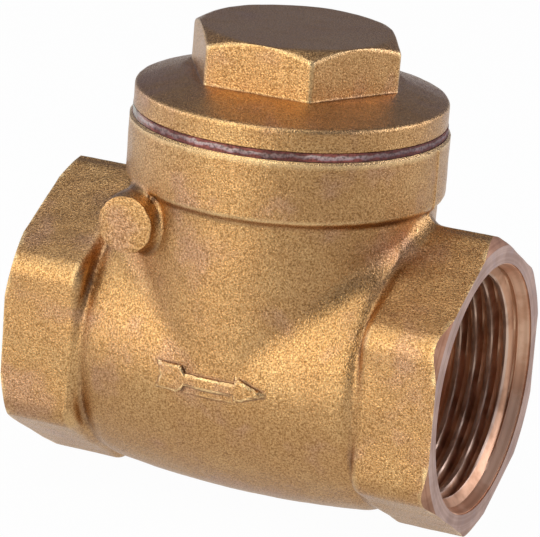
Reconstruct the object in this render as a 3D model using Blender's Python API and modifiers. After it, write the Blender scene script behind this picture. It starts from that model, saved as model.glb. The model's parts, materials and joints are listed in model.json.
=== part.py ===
"""Swing non-return valve: a cast brass body with two female threaded hexagon ends,
a screwed bonnet on a fibre gasket, and a clapper that hangs from a hinge pin
and closes against a raised seat ring on the inlet side.

Frame: the origin is where the pipe axis meets the bonnet axis. Flow runs along +X,
the bonnet points up along +Z, and the hinge pin lies along Y.
"""
import math

import bmesh
import bpy

MM = 0.001

# Driving dimensions

# Clearances between pieces
SEATED_GAP = 0.1 * MM
SCREWED_GAP = 0.15 * MM
RUNNING_GAP = 0.3 * MM

# Threaded ends
THREAD_R = 16.62 * MM
THREAD_DEPTH = 12.0 * MM
MOUTH_FLARE = 0.28 * MM
MOUTH_LEAD = 1.8 * MM
END_WALL = 1.9 * MM
END_LAND = 2.55 * MM
END_CHAMFER_ANGLE = math.radians(15.0)
HEX_CORNER_R = 3.65 * MM
HEX_LENGTH = 9.0 * MM
HEX_SHOULDER = 2.2 * MM
INLET_REACH = 31.8 * MM
OUTLET_REACH = 31.1 * MM

# Waterway and seat
SEAT_BORE_R = 11.6 * MM
SEAT_LAND = 1.6 * MM
SEAT_RISE = 0.5 * MM
SEAT_BACK = 13.0 * MM
THROAT_FLARE = 2.0 * MM
OUTLET_PORT_R = 13.0 * MM
OUTLET_WALL = 2.6 * MM
CHAMBER_FILLET = 2.0 * MM
BELLY_WALL = 3.6 * MM
BELLY_FALL = 1.4 * MM
BELLY_END_ROUND = 0.8 * MM

# Neck and collar
NECK_WALL = 2.54 * MM
NECK_FOOT_INSET = 0.8 * MM
NECK_FOOT_DEPTH = 2.0 * MM
NECK_THREAD_STEP = 0.45 * MM
COLLAR_STEP = 1.0 * MM
COLLAR_TOP = 31.8 * MM
COLLAR_HEIGHT = 8.2 * MM
EDGE_BREAK = 0.4 * MM
SHELF_GAP = 2.2 * MM
LOWER_CAVITY_STEP = 1.35 * MM

# Hinge
PIN_R = 1.25 * MM
PIN_BACK = 14.2 * MM
PIN_RISE = 6.2 * MM
HUB_WALL = 1.0 * MM
HUB_HALF = 6.0 * MM
EAR_WALL = 1.8 * MM
BOSS_R = 4.1 * MM
BOSS_ROUND = 0.6 * MM
FRONT_BOSS_REACH = 20.2 * MM
FRONT_BOSS_END_WALL = 2.0 * MM
REAR_BOSS_STAND = 0.2 * MM
PIN_END_PLAY = 0.6 * MM

# Plug that closes the rear pin hole
PLUG_R = 2.45 * MM
PLUG_LENGTH = 4.6 * MM
PLUG_WASHER_WALL = 1.2 * MM
PLUG_WASHER_THICKNESS = 0.8 * MM
PLUG_HEAD_AF = 7.0 * MM
PLUG_HEAD_HEIGHT = 2.8 * MM

# Clapper
ARM_THICKNESS = 2.6 * MM
ARM_WIDTH = 7.0 * MM
ARM_KNEE_RISE = 0.8 * MM
EYE_WALL = 2.3 * MM
SEAL_OVERLAP = 0.3 * MM
SEAL_THICKNESS = 1.9 * MM
DISC_RIM_WALL = 0.8 * MM
DISC_RIM_COVER = 1.3 * MM
DISC_THICKNESS = 2.4 * MM
DISC_BACK_TAPER = 0.9 * MM
DISC_SIDE_GAP = 2.4 * MM
STUD_R = 2.0 * MM
RETAINER_R = 8.0 * MM
RETAINER_THICKNESS = 1.0 * MM
STUD_WASHER_WALL = 2.1 * MM
STUD_WASHER_THICKNESS = 0.8 * MM
NUT_AF = 7.0 * MM
RETAINER_NUT_HEIGHT = 2.2 * MM
DISC_NUT_HEIGHT = 2.6 * MM
STUD_END = 0.6 * MM
WIRE_R = 0.25 * MM
WIRE_GAP = 0.06 * MM
SPLIT_PIN_EYE_R = 0.9 * MM
SPLIT_PIN_LEG = 1.3 * MM

# Bonnet and gasket
GASKET_THICKNESS = 1.0 * MM
BONNET_INSET = 0.46 * MM
BONNET_RIM = 2.95 * MM
BONNET_RISE = 2.1 * MM
BONNET_HEAD_AF = 26.0 * MM
BONNET_HEAD_HEIGHT = 6.6 * MM
BONNET_HEAD_TURN = math.radians(1.8)
BONNET_CHAMFER_WIDTH = 1.9 * MM
BONNET_CHAMFER_ANGLE = math.radians(30.0)
SKIRT_DEPTH = 7.4 * MM
SKIRT_WALL = 2.6 * MM
BONNET_ROOF = 4.0 * MM
BONNET_POCKET_R = 9.0 * MM

# Facets of a full turn, from large turned faces to small ones
COARSE_TURN = 60
MEDIUM_TURN = 40
SMALL_TURN = 24
ARC_STEPS = 5
ROUNDED_EDGE_STEPS = 3
BARREL_STATIONS = 12
SPLIT_PIN_EYE_STEPS = 16
CREASE_ANGLE = math.radians(30.0)

# How far a cutter or an envelope passes the face that it works on
OVERSHOOT = 1.0 * MM
HALF_HEXAGON_TURN = math.radians(30.0)

# Sizes that follow from the driving dimensions

mouth_r = THREAD_R + MOUTH_FLARE
hex_apothem = mouth_r + END_WALL
hex_corner_reach = (hex_apothem - HEX_CORNER_R) / math.cos(HALF_HEXAGON_TURN) + HEX_CORNER_R
end_face_r = mouth_r + END_LAND

seat_ring_r = SEAT_BORE_R + SEAT_LAND
seat_x = -SEAT_BACK
seat_wall_x = seat_x - SEAT_RISE
seal_r = seat_ring_r + SEAL_OVERLAP
disc_r = seal_r + SEATED_GAP + DISC_RIM_WALL
chamber_r = disc_r + DISC_SIDE_GAP
chamber_end_x = OUTLET_REACH - THREAD_DEPTH - OUTLET_WALL
belly_r = chamber_r + BELLY_WALL

pin_x = -PIN_BACK
pin_z = seat_ring_r + PIN_RISE
pin_hole_r = PIN_R + SCREWED_GAP
hub_bore_r = PIN_R + RUNNING_GAP
hub_r = hub_bore_r + HUB_WALL
hub_reach = math.hypot(PIN_BACK + hub_r, HUB_HALF)
neck_cavity_r = hub_reach + RUNNING_GAP
neck_thread_r = neck_cavity_r - NECK_THREAD_STEP
lower_cavity_r = neck_cavity_r - LOWER_CAVITY_STEP
neck_r = neck_cavity_r + NECK_WALL
collar_r = neck_r + COLLAR_STEP
collar_bottom = COLLAR_TOP - COLLAR_HEIGHT
shelf_z = pin_z - hub_r - SHELF_GAP
ear_r = pin_hole_r + EAR_WALL
ear_start = HUB_HALF + RUNNING_GAP
front_hole_end = FRONT_BOSS_REACH - FRONT_BOSS_END_WALL
pin_front_reach = front_hole_end - SEATED_GAP
plug_washer_r = PLUG_R + SCREWED_GAP + PLUG_WASHER_WALL
neck_flank = math.sqrt(neck_r ** 2 - (PIN_BACK - plug_washer_r) ** 2)
rear_boss_reach = neck_flank + REAR_BOSS_STAND
plug_tip = rear_boss_reach - PLUG_LENGTH
pin_rear_reach = plug_tip - PIN_END_PLAY

# Stations along the flow, from the seat ring to the end of the disc's stud
seal_front_x = seat_x + RUNNING_GAP
seal_back_x = seal_front_x + SEAL_THICKNESS
disc_floor_x = seal_back_x + SEATED_GAP
disc_back_x = disc_floor_x + DISC_THICKNESS
arm_front_x = disc_back_x + RUNNING_GAP
arm_back_x = arm_front_x + ARM_THICKNESS
stud_washer_x = arm_back_x + RUNNING_GAP
disc_nut_x = stud_washer_x + STUD_WASHER_THICKNESS + SEATED_GAP
split_pin_hole_r = 2 * WIRE_R + WIRE_GAP + SCREWED_GAP
split_pin_x = disc_nut_x + DISC_NUT_HEIGHT + SEATED_GAP + split_pin_hole_r
stud_back_x = split_pin_x + split_pin_hole_r + STUD_END
retainer_back_x = seal_front_x - SEATED_GAP
retainer_front_x = retainer_back_x - RETAINER_THICKNESS
retainer_nut_back_x = retainer_front_x - SEATED_GAP
retainer_nut_front_x = retainer_nut_back_x - RETAINER_NUT_HEIGHT
stud_front_x = retainer_nut_front_x - STUD_END
stud_bore_r = STUD_R + SCREWED_GAP
eye_bore_r = STUD_R + RUNNING_GAP
eye_r = eye_bore_r + EYE_WALL

gasket_bottom = COLLAR_TOP + SEATED_GAP
gasket_top = gasket_bottom + GASKET_THICKNESS
bonnet_base = gasket_top + SEATED_GAP
bonnet_rim_top = bonnet_base + BONNET_RIM
bonnet_r = collar_r - BONNET_INSET
head_base = bonnet_rim_top + BONNET_RISE
head_top = head_base + BONNET_HEAD_HEIGHT
head_apothem = BONNET_HEAD_AF / 2
skirt_r = neck_thread_r - RUNNING_GAP
skirt_bore_r = skirt_r - SKIRT_WALL

# Directions in which a turned or extruded piece's own Z axis can point
UP = (0.0, 0.0, 0.0)
UP_HALF_FACET_ON = (0.0, 0.0, math.pi / COARSE_TURN)
DOWNSTREAM = (0.0, math.pi / 2, 0.0)
FORWARD = (math.pi / 2, 0.0, 0.0)
REARWARD = (-math.pi / 2, 0.0, 0.0)


def clear_scene():
    for old in list(bpy.data.objects):
        bpy.data.objects.remove(old, do_unlink=True)


def new_collection(name):
    group = bpy.data.collections.new(name)
    bpy.context.scene.collection.children.link(group)
    return group


def principled(name, colour, roughness, metallic):
    made = bpy.data.materials.new(name)
    made.use_nodes = True
    shader = made.node_tree.nodes["Principled BSDF"]
    shader.inputs["Base Color"].default_value = (*colour, 1.0)
    shader.inputs["Roughness"].default_value = roughness
    shader.inputs["Metallic"].default_value = metallic
    made.diffuse_color = (*colour, 1.0)
    return made


def place(mesh, name, centre, direction, group):
    """Put a mesh in the scene at a centre, with its own Z axis turned to a direction."""
    made = bpy.data.objects.new(name, mesh)
    made.location = centre
    made.rotation_euler = direction
    group.objects.link(made)
    if group is helpers:
        made.hide_render = True
        made.display_type = "WIRE"
    return made


def turned(name, profile, group, centre=(0.0, 0.0, 0.0), direction=UP, steps=COARSE_TURN):
    """Turn a profile of (radius, height) points, listed top to bottom, about its Z axis."""
    mesh = bpy.data.meshes.new(name)
    shape = bmesh.new()
    corners = [shape.verts.new((radius, 0.0, height)) for radius, height in profile]
    for upper, lower in zip(corners, corners[1:]):
        shape.edges.new((upper, lower))
    shape.to_mesh(mesh)
    shape.free()
    made = place(mesh, name, centre, direction, group)
    screw = made.modifiers.new("Turn", "SCREW")
    screw.steps = steps
    screw.render_steps = steps
    screw.use_merge_vertices = True
    screw.merge_threshold = 0.00001
    screw.use_smooth_shade = False
    return made


def turned_ring(name, bore, outside, bottom, top, group, direction=UP, steps=COARSE_TURN):
    """A washer: a rectangle turned about the Z axis, clear of that axis."""
    section = [(bore, top), (outside, top), (outside, bottom), (bore, bottom), (bore, top)]
    made = turned(name, section, group, direction=direction, steps=steps)
    weld = made.modifiers.new("Weld", "WELD")
    weld.merge_threshold = 0.00001
    return made


def extruded(name, outline, thickness, group, centre=(0.0, 0.0, 0.0), direction=UP):
    """Extrude a flat outline both ways from its plane by half the thickness."""
    curve = bpy.data.curves.new(name, "CURVE")
    curve.dimensions = "2D"
    curve.fill_mode = "BOTH"
    curve.extrude = thickness / 2
    spline = curve.splines.new("POLY")
    spline.points.add(len(outline) - 1)
    for point, (across, along) in zip(spline.points, outline):
        point.co = (across, along, 0.0, 1.0)
    spline.use_cyclic_u = True
    return as_mesh(curve, name, centre, direction, group)


def tube(name, path, radius, group):
    """A round wire along a path of points, with closed ends."""
    curve = bpy.data.curves.new(name, "CURVE")
    curve.dimensions = "3D"
    curve.bevel_depth = radius
    curve.bevel_resolution = 2
    curve.use_fill_caps = True
    spline = curve.splines.new("POLY")
    spline.points.add(len(path) - 1)
    for point, place_on_path in zip(spline.points, path):
        point.co = (*place_on_path, 1.0)
    return as_mesh(curve, name, (0.0, 0.0, 0.0), UP, group)


def as_mesh(curve, name, centre, direction, group):
    """Turn a curve into a welded mesh object, so that it can be cut and joined."""
    drawn = bpy.data.objects.new(name + "_curve", curve)
    bpy.context.scene.collection.objects.link(drawn)
    evaluated = drawn.evaluated_get(bpy.context.evaluated_depsgraph_get())
    mesh = bpy.data.meshes.new_from_object(evaluated)
    bpy.data.objects.remove(drawn, do_unlink=True)
    shape = bmesh.new()
    shape.from_mesh(mesh)
    bmesh.ops.remove_doubles(shape, verts=shape.verts, dist=0.000001)
    bmesh.ops.recalc_face_normals(shape, faces=shape.faces)
    shape.to_mesh(mesh)
    shape.free()
    return place(mesh, name, centre, direction, group)


def combine(target, tool, operation, solver="EXACT"):
    step = target.modifiers.new(operation.title(), "BOOLEAN")
    step.operation = operation
    step.object = tool
    step.solver = solver


def join(target, tool, solver="EXACT"):
    combine(target, tool, "UNION", solver)


def cut(target, tool, solver="EXACT"):
    combine(target, tool, "DIFFERENCE", solver)


def keep_common(target, tool):
    combine(target, tool, "INTERSECT")


def arc(centre, radius, start, end, steps=ARC_STEPS):
    """Points on an arc, with both ends, from one angle in degrees to the other."""
    points = []
    for step in range(steps + 1):
        angle = math.radians(start + (end - start) * step / steps)
        points.append((centre[0] + radius * math.cos(angle), centre[1] + radius * math.sin(angle)))
    return points


def hexagon(apothem, corner_r=0.0, turn=0.0):
    """A hexagon with a corner on the first axis, its corners rounded where asked."""
    outline = []
    for corner in range(6):
        middle = corner * 60.0 + math.degrees(turn)
        reach = (apothem - corner_r) / math.cos(HALF_HEXAGON_TURN)
        centre = (reach * math.cos(math.radians(middle)), reach * math.sin(math.radians(middle)))
        if corner_r > 0.0:
            outline += arc(centre, corner_r, middle - 30.0, middle + 30.0)
        else:
            outline.append(centre)
    return outline


def widened_path(points, thickness):
    """Outline of a bar of even thickness along a path, mitred where the path bends."""
    left, right = [], []
    for index, (across, along) in enumerate(points):
        headings = []
        if index > 0:
            headings.append(math.atan2(along - points[index - 1][1], across - points[index - 1][0]))
        if index < len(points) - 1:
            headings.append(math.atan2(points[index + 1][1] - along, points[index + 1][0] - across))
        heading = sum(headings) / len(headings)
        half_bend = (headings[-1] - headings[0]) / 2
        offset = thickness / 2 / math.cos(half_bend)
        side = (-math.sin(heading) * offset, math.cos(heading) * offset)
        left.append((across + side[0], along + side[1]))
        right.append((across - side[0], along - side[1]))
    return left + right[::-1]


# Body casting

def belly():
    """Barrel between the hexagon ends, widest under the bonnet and falling to each end."""
    inlet_span = INLET_REACH - HEX_LENGTH
    outlet_span = OUTLET_REACH - HEX_LENGTH
    foot_r = belly_r - BELLY_FALL - BELLY_END_ROUND
    profile = [(0.0, outlet_span + BELLY_END_ROUND)]
    profile += arc((foot_r, outlet_span), BELLY_END_ROUND, 90.0, 0.0, steps=ROUNDED_EDGE_STEPS)
    for step in range(1, BARREL_STATIONS):
        share = 1.0 - 2.0 * step / BARREL_STATIONS
        height = share * (outlet_span if share > 0 else inlet_span)
        profile.append((belly_r - BELLY_FALL * share * share, height))
    profile += arc((foot_r, -inlet_span), BELLY_END_ROUND, 0.0, -90.0, steps=ROUNDED_EDGE_STEPS)
    profile.append((0.0, -inlet_span - BELLY_END_ROUND))
    return turned("body", profile, valve, direction=DOWNSTREAM)


def hexagon_end(name, reach, outward):
    """Hexagon end with rounded corners, a chamfered face and a rounded inner shoulder."""
    root = reach / 2
    prism = extruded(name, hexagon(hex_apothem, HEX_CORNER_R), reach, helpers,
                     centre=(outward * (root + reach / 2), 0.0, 0.0), direction=DOWNSTREAM)
    over_r = hex_corner_reach + OVERSHOOT
    chamfer_drop = (over_r - end_face_r) * math.tan(END_CHAMFER_ANGLE)
    profile = [(0.0, reach), (end_face_r, reach), (over_r, reach - chamfer_drop)]
    foot_r = hex_apothem - BELLY_END_ROUND
    for step in range(ARC_STEPS + 1):
        share = step / ARC_STEPS
        height = reach - HEX_LENGTH - HEX_SHOULDER * math.sin(share * math.pi / 2)
        profile.append((foot_r + (over_r - foot_r) * math.cos(share * math.pi / 2), height))
    profile += [(foot_r, root + OVERSHOOT), (0.0, root + OVERSHOOT)]
    if outward < 0:
        profile = [(radius, -height) for radius, height in reversed(profile)]
    envelope = turned(name + "_envelope", profile, helpers, direction=DOWNSTREAM)
    keep_common(prism, envelope)
    return prism


def neck():
    """Round neck with the thicker collar that the gasket sits on."""
    step_bottom = collar_bottom - COLLAR_STEP
    profile = [
        (0.0, COLLAR_TOP),
        (collar_r - EDGE_BREAK, COLLAR_TOP),
        (collar_r, COLLAR_TOP - EDGE_BREAK),
        (collar_r, collar_bottom + EDGE_BREAK),
        (collar_r - EDGE_BREAK, collar_bottom),
        (neck_r, step_bottom + EDGE_BREAK),
        (neck_r, pin_z / 2),
        (neck_r - NECK_FOOT_INSET, -NECK_FOOT_DEPTH),
        (0.0, -NECK_FOOT_DEPTH),
    ]
    return turned("neck", profile, helpers, direction=UP_HALF_FACET_ON)


def pin_boss(name, reach, direction, end_round):
    """Round boss that carries one end of the hinge pin."""
    inside = PIN_BACK / 2
    profile = [(0.0, reach)]
    profile += arc((BOSS_R - end_round, reach - end_round), end_round, 90.0, 0.0, steps=ROUNDED_EDGE_STEPS)
    profile += [(BOSS_R, inside), (0.0, inside)]
    return turned(name, profile, helpers, centre=(pin_x, 0.0, pin_z), direction=direction,
                  steps=MEDIUM_TURN)


def waterway():
    """Everything that is turned out about the pipe axis, from one mouth to the other."""
    over_mouth_r = mouth_r + MOUTH_FLARE * OVERSHOOT / MOUTH_LEAD
    outlet_floor = OUTLET_REACH - THREAD_DEPTH
    inlet_floor = -(INLET_REACH - THREAD_DEPTH)
    fillet_r = chamber_r - CHAMBER_FILLET
    profile = [
        (0.0, OUTLET_REACH + OVERSHOOT),
        (over_mouth_r, OUTLET_REACH + OVERSHOOT),
        (THREAD_R, OUTLET_REACH - MOUTH_LEAD),
        (THREAD_R, outlet_floor),
        (OUTLET_PORT_R, outlet_floor),
        (OUTLET_PORT_R, chamber_end_x),
    ]
    profile += arc((fillet_r, chamber_end_x - CHAMBER_FILLET), CHAMBER_FILLET, 90.0, 0.0, steps=ROUNDED_EDGE_STEPS)
    profile += arc((fillet_r, seat_wall_x + CHAMBER_FILLET), CHAMBER_FILLET, 0.0, -90.0, steps=ROUNDED_EDGE_STEPS)
    profile += [
        (seat_ring_r, seat_wall_x),
        (seat_ring_r, seat_x),
        (SEAT_BORE_R, seat_x),
        (SEAT_BORE_R, (seat_x + inlet_floor) / 2),
        (SEAT_BORE_R + THROAT_FLARE, inlet_floor),
        (THREAD_R, inlet_floor),
        (THREAD_R, -INLET_REACH + MOUTH_LEAD),
        (over_mouth_r, -INLET_REACH - OVERSHOOT),
        (0.0, -INLET_REACH - OVERSHOOT),
    ]
    return turned("waterway", profile, helpers, direction=DOWNSTREAM)


def neck_bore():
    """Threaded bore for the bonnet, and the wider cast space under it for the hinge."""
    thread_foot = bonnet_base - SKIRT_DEPTH - OVERSHOOT
    profile = [
        (0.0, COLLAR_TOP + OVERSHOOT),
        (neck_thread_r, COLLAR_TOP + OVERSHOOT),
        (neck_thread_r, thread_foot),
        (neck_cavity_r, thread_foot - NECK_THREAD_STEP),
        (neck_cavity_r, shelf_z),
        (0.0, shelf_z),
    ]
    return turned("neck_bore", profile, helpers, direction=UP_HALF_FACET_ON)


def clapper_space():
    """Upright space downstream of the seat wall, where the clapper swings up."""
    flat = math.degrees(math.acos(seat_wall_x / lower_cavity_r))
    outline = arc((0.0, 0.0), lower_cavity_r, -flat, flat, steps=MEDIUM_TURN)
    top = shelf_z + RUNNING_GAP
    bottom = -NECK_FOOT_DEPTH
    return extruded("clapper_space", outline, top - bottom, helpers,
                    centre=(0.0, 0.0, (top + bottom) / 2))


def hinge_ear(name, direction):
    """Cast ear inside the neck that keeps the clapper's hub central on its pin."""
    profile = [(0.0, PIN_BACK), (ear_r, PIN_BACK), (ear_r, ear_start), (0.0, ear_start)]
    return turned(name, profile, helpers, centre=(pin_x, 0.0, pin_z), direction=direction,
                  steps=MEDIUM_TURN)


def pin_holes():
    """Blind front hole and stepped rear hole, which takes the plug's thread."""
    plug_hole_r = PLUG_R + SCREWED_GAP
    plug_floor = plug_tip - SEATED_GAP
    profile = [
        (0.0, rear_boss_reach + OVERSHOOT),
        (plug_hole_r, rear_boss_reach + OVERSHOOT),
        (plug_hole_r, plug_floor),
        (pin_hole_r, plug_floor),
        (pin_hole_r, -front_hole_end),
        (0.0, -front_hole_end),
    ]
    return turned("pin_holes", profile, helpers, centre=(pin_x, 0.0, pin_z), direction=REARWARD,
                  steps=SMALL_TURN)


def body():
    """Join the outer forms, cut the hollows, then add the ears that stand inside them."""
    casting = belly()
    outer_forms = [
        hexagon_end("inlet_hexagon", INLET_REACH, -1),
        hexagon_end("outlet_hexagon", OUTLET_REACH, 1),
        neck(),
        pin_boss("front_boss", FRONT_BOSS_REACH, FORWARD, BOSS_ROUND),
        pin_boss("rear_boss", rear_boss_reach, REARWARD, EDGE_BREAK),
    ]
    for form in outer_forms:
        join(casting, form, "MANIFOLD")
    for hollow in [waterway(), neck_bore(), clapper_space()]:
        cut(casting, hollow, "MANIFOLD")
    for ear in [hinge_ear("front_ear", FORWARD), hinge_ear("rear_ear", REARWARD)]:
        join(casting, ear, "MANIFOLD")
    cut(casting, pin_holes(), "MANIFOLD")
    return casting


# Bonnet and its gasket

def bonnet():
    """Flange, conical top and hollow screwed skirt, turned, with a hexagon head."""
    pocket_top = head_top - BONNET_ROOF
    ceiling = bonnet_base + BONNET_RIM / 2
    cone_r = head_apothem / math.cos(HALF_HEXAGON_TURN)
    profile = [
        (0.0, pocket_top),
        (BONNET_POCKET_R - EDGE_BREAK, pocket_top),
        (BONNET_POCKET_R, pocket_top - EDGE_BREAK),
        (BONNET_POCKET_R, ceiling + BONNET_RIM),
        (skirt_bore_r, ceiling),
        (skirt_bore_r, bonnet_base - SKIRT_DEPTH - OVERSHOOT),
        (0.0, bonnet_base - SKIRT_DEPTH - OVERSHOOT),
    ]
    hollow = turned("bonnet_hollow", profile, helpers)
    profile = [
        (0.0, head_base),
        (cone_r, head_base),
        (bonnet_r - EDGE_BREAK, bonnet_rim_top),
        (bonnet_r, bonnet_rim_top - EDGE_BREAK),
        (bonnet_r, bonnet_base + EDGE_BREAK / 2),
        (bonnet_r - EDGE_BREAK / 2, bonnet_base),
        (skirt_r, bonnet_base),
        (skirt_r, bonnet_base - SKIRT_DEPTH + EDGE_BREAK),
        (skirt_r - EDGE_BREAK, bonnet_base - SKIRT_DEPTH),
        (0.0, bonnet_base - SKIRT_DEPTH),
    ]
    cap = turned("bonnet", profile, valve)
    head_foot = bonnet_rim_top
    head = extruded("bonnet_head", hexagon(head_apothem, EDGE_BREAK, BONNET_HEAD_TURN),
                    head_top - head_foot, helpers, centre=(0.0, 0.0, (head_top + head_foot) / 2))
    top_r = cone_r - BONNET_CHAMFER_WIDTH
    over_r = cone_r + OVERSHOOT
    chamfer_drop = (over_r - top_r) * math.tan(BONNET_CHAMFER_ANGLE)
    envelope = turned("bonnet_head_envelope", [
        (0.0, head_top),
        (top_r, head_top),
        (over_r, head_top - chamfer_drop),
        (over_r, head_foot - OVERSHOOT),
        (0.0, head_foot - OVERSHOOT),
    ], helpers)
    keep_common(head, envelope)
    join(cap, head)
    cut(cap, hollow)
    return cap


def bonnet_gasket():
    bore = neck_thread_r + SEATED_GAP
    return turned_ring("bonnet_gasket", bore, bonnet_r, gasket_bottom, gasket_top, valve)


# Hinge pin and the plug behind it

def hinge_pin():
    profile = [
        (0.0, pin_rear_reach),
        (PIN_R - EDGE_BREAK / 2, pin_rear_reach),
        (PIN_R, pin_rear_reach - EDGE_BREAK / 2),
        (PIN_R, -pin_front_reach),
        (0.0, -pin_front_reach),
    ]
    return turned("hinge_pin", profile, valve, centre=(pin_x, 0.0, pin_z), direction=REARWARD,
                  steps=SMALL_TURN)


def plug_washer():
    bottom = rear_boss_reach + SEATED_GAP
    made = turned_ring("plug_washer", PLUG_R + SCREWED_GAP, plug_washer_r, bottom,
                       bottom + PLUG_WASHER_THICKNESS, valve, REARWARD, MEDIUM_TURN)
    made.location = (pin_x, 0.0, pin_z)
    return made


def pin_plug():
    """Short screw plug with a hexagon head, on a washer."""
    head_bottom = rear_boss_reach + PLUG_WASHER_THICKNESS + 2 * SEATED_GAP
    head = hex_head("pin_plug", PLUG_HEAD_AF, PLUG_HEAD_HEIGHT, head_bottom, REARWARD)
    head.location = (pin_x, 0.0, pin_z)
    shank = turned("plug_shank", [
        (0.0, head_bottom + PLUG_HEAD_HEIGHT / 2),
        (PLUG_R, head_bottom + PLUG_HEAD_HEIGHT / 2),
        (PLUG_R, plug_tip + EDGE_BREAK),
        (PLUG_R - EDGE_BREAK, plug_tip),
        (0.0, plug_tip),
    ], helpers, centre=(pin_x, 0.0, pin_z), direction=REARWARD, steps=SMALL_TURN)
    join(head, shank)
    return head


def hex_head(name, across_flats, height, bottom, direction, both_ends=False):
    """Hexagon with its corners turned off at the top, or at both ends for a nut."""
    apothem = across_flats / 2
    over_r = apothem / math.cos(HALF_HEXAGON_TURN) + EDGE_BREAK
    drop = (over_r - apothem) * math.tan(BONNET_CHAMFER_ANGLE)
    top = bottom + height
    made = turned(name, [
        (0.0, top),
        (apothem, top),
        (over_r, top - drop),
        (over_r, bottom + drop if both_ends else bottom),
        (apothem if both_ends else over_r - drop, bottom),
        (0.0, bottom),
    ], valve, direction=direction, steps=MEDIUM_TURN)
    prism = extruded(name + "_hexagon", hexagon(apothem), height * 2, helpers, direction=direction)
    prism.parent = made
    prism.rotation_euler = UP
    prism.location = (0.0, 0.0, bottom + height / 2)
    keep_common(made, prism)
    return made


# Clapper: arm, disc, seal and fastenings

def swing_arm():
    """Hub on the hinge pin, cranked bar over the disc's rim, and the eye for its stud."""
    middle_x = (arm_front_x + arm_back_x) / 2
    knee_z = disc_r + ARM_KNEE_RISE
    path = [(pin_x, pin_z), (middle_x, knee_z), (middle_x, 0.0)]
    outline = widened_path([(across, -height) for across, height in path], ARM_THICKNESS)
    bar = extruded("arm_bar", outline, ARM_WIDTH, helpers, direction=REARWARD)
    rounding = bar.modifiers.new("Edges", "BEVEL")
    rounding.width = EDGE_BREAK
    rounding.segments = 2
    hub = turned("swing_arm", [
        (0.0, HUB_HALF),
        (hub_r - EDGE_BREAK, HUB_HALF),
        (hub_r, HUB_HALF - EDGE_BREAK),
        (hub_r, EDGE_BREAK - HUB_HALF),
        (hub_r - EDGE_BREAK, -HUB_HALF),
        (0.0, -HUB_HALF),
    ], valve, centre=(pin_x, 0.0, pin_z), direction=REARWARD, steps=MEDIUM_TURN)
    eye = turned("arm_eye", [
        (0.0, arm_back_x),
        (eye_r - EDGE_BREAK, arm_back_x),
        (eye_r, arm_back_x - EDGE_BREAK),
        (eye_r, arm_front_x),
        (0.0, arm_front_x),
    ], helpers, direction=DOWNSTREAM, steps=MEDIUM_TURN)
    join(hub, bar)
    join(hub, eye)
    over_hub = HUB_HALF + OVERSHOOT
    cut(hub, turned("hub_bore", [
        (0.0, over_hub), (hub_bore_r, over_hub), (hub_bore_r, -over_hub), (0.0, -over_hub),
    ], helpers, centre=(pin_x, 0.0, pin_z), direction=REARWARD, steps=SMALL_TURN))
    cut(hub, turned("eye_bore", [
        (0.0, arm_back_x + OVERSHOOT),
        (eye_bore_r, arm_back_x + OVERSHOOT),
        (eye_bore_r, arm_front_x - OVERSHOOT),
        (0.0, arm_front_x - OVERSHOOT),
    ], helpers, direction=DOWNSTREAM, steps=SMALL_TURN))
    return hub


def disc():
    """Cupped disc with a stud on each face: one for the seal's nut, one for the arm."""
    cup_r = seal_r + SEATED_GAP
    profile = [
        (0.0, stud_back_x),
        (STUD_R - EDGE_BREAK, stud_back_x),
        (STUD_R, stud_back_x - EDGE_BREAK),
        (STUD_R, disc_back_x),
        (eye_r + EDGE_BREAK, disc_back_x),
        (disc_r, disc_back_x - DISC_BACK_TAPER),
        (disc_r, disc_floor_x - DISC_RIM_COVER),
        (cup_r, disc_floor_x - DISC_RIM_COVER),
        (cup_r, disc_floor_x),
        (STUD_R, disc_floor_x),
        (STUD_R, stud_front_x + EDGE_BREAK),
        (STUD_R - EDGE_BREAK, stud_front_x),
        (0.0, stud_front_x),
    ]
    made = turned("disc", profile, valve, direction=DOWNSTREAM, steps=MEDIUM_TURN)
    over_stud = STUD_R + OVERSHOOT
    cut(made, turned("split_pin_hole", [
        (0.0, over_stud), (split_pin_hole_r, over_stud),
        (split_pin_hole_r, -over_stud), (0.0, -over_stud),
    ], helpers, centre=(split_pin_x, 0.0, 0.0), steps=SMALL_TURN))
    return made


def stud_washer(name, outside, bottom, top):
    return turned_ring(name, stud_bore_r, outside, bottom, top, valve, DOWNSTREAM, MEDIUM_TURN)


def stud_nut(name, bottom, height):
    made = hex_head(name, NUT_AF, height, bottom, DOWNSTREAM, both_ends=True)
    cut(made, turned(name + "_bore", [
        (0.0, bottom + height + OVERSHOOT),
        (stud_bore_r, bottom + height + OVERSHOOT),
        (stud_bore_r, bottom - OVERSHOOT),
        (0.0, bottom - OVERSHOOT),
    ], helpers, direction=DOWNSTREAM, steps=SMALL_TURN))
    return made


def split_pin():
    """Doubled wire through the stud: an eye above, and two legs bent apart below."""
    offset = WIRE_R + WIRE_GAP / 2
    beside_stud = STUD_R + SCREWED_GAP + WIRE_R
    eye_gap = math.degrees(math.asin(offset / SPLIT_PIN_EYE_R))
    half = [
        (offset + SPLIT_PIN_LEG, -beside_stud),
        (offset + 2 * WIRE_R, -beside_stud),
        (offset, -STUD_R),
        (offset, STUD_R),
    ]
    eye = arc((0.0, beside_stud + SPLIT_PIN_EYE_R), SPLIT_PIN_EYE_R, eye_gap - 90.0,
              270.0 - eye_gap, steps=SPLIT_PIN_EYE_STEPS)
    mirrored = [(-across, height) for across, height in reversed(half)]
    path = [(split_pin_x, across, height) for across, height in half + eye + mirrored]
    return tube("split_pin", path, WIRE_R, valve)


def paint(pieces, made):
    for piece in pieces:
        piece.data.materials.clear()
        piece.data.materials.append(made)


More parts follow.
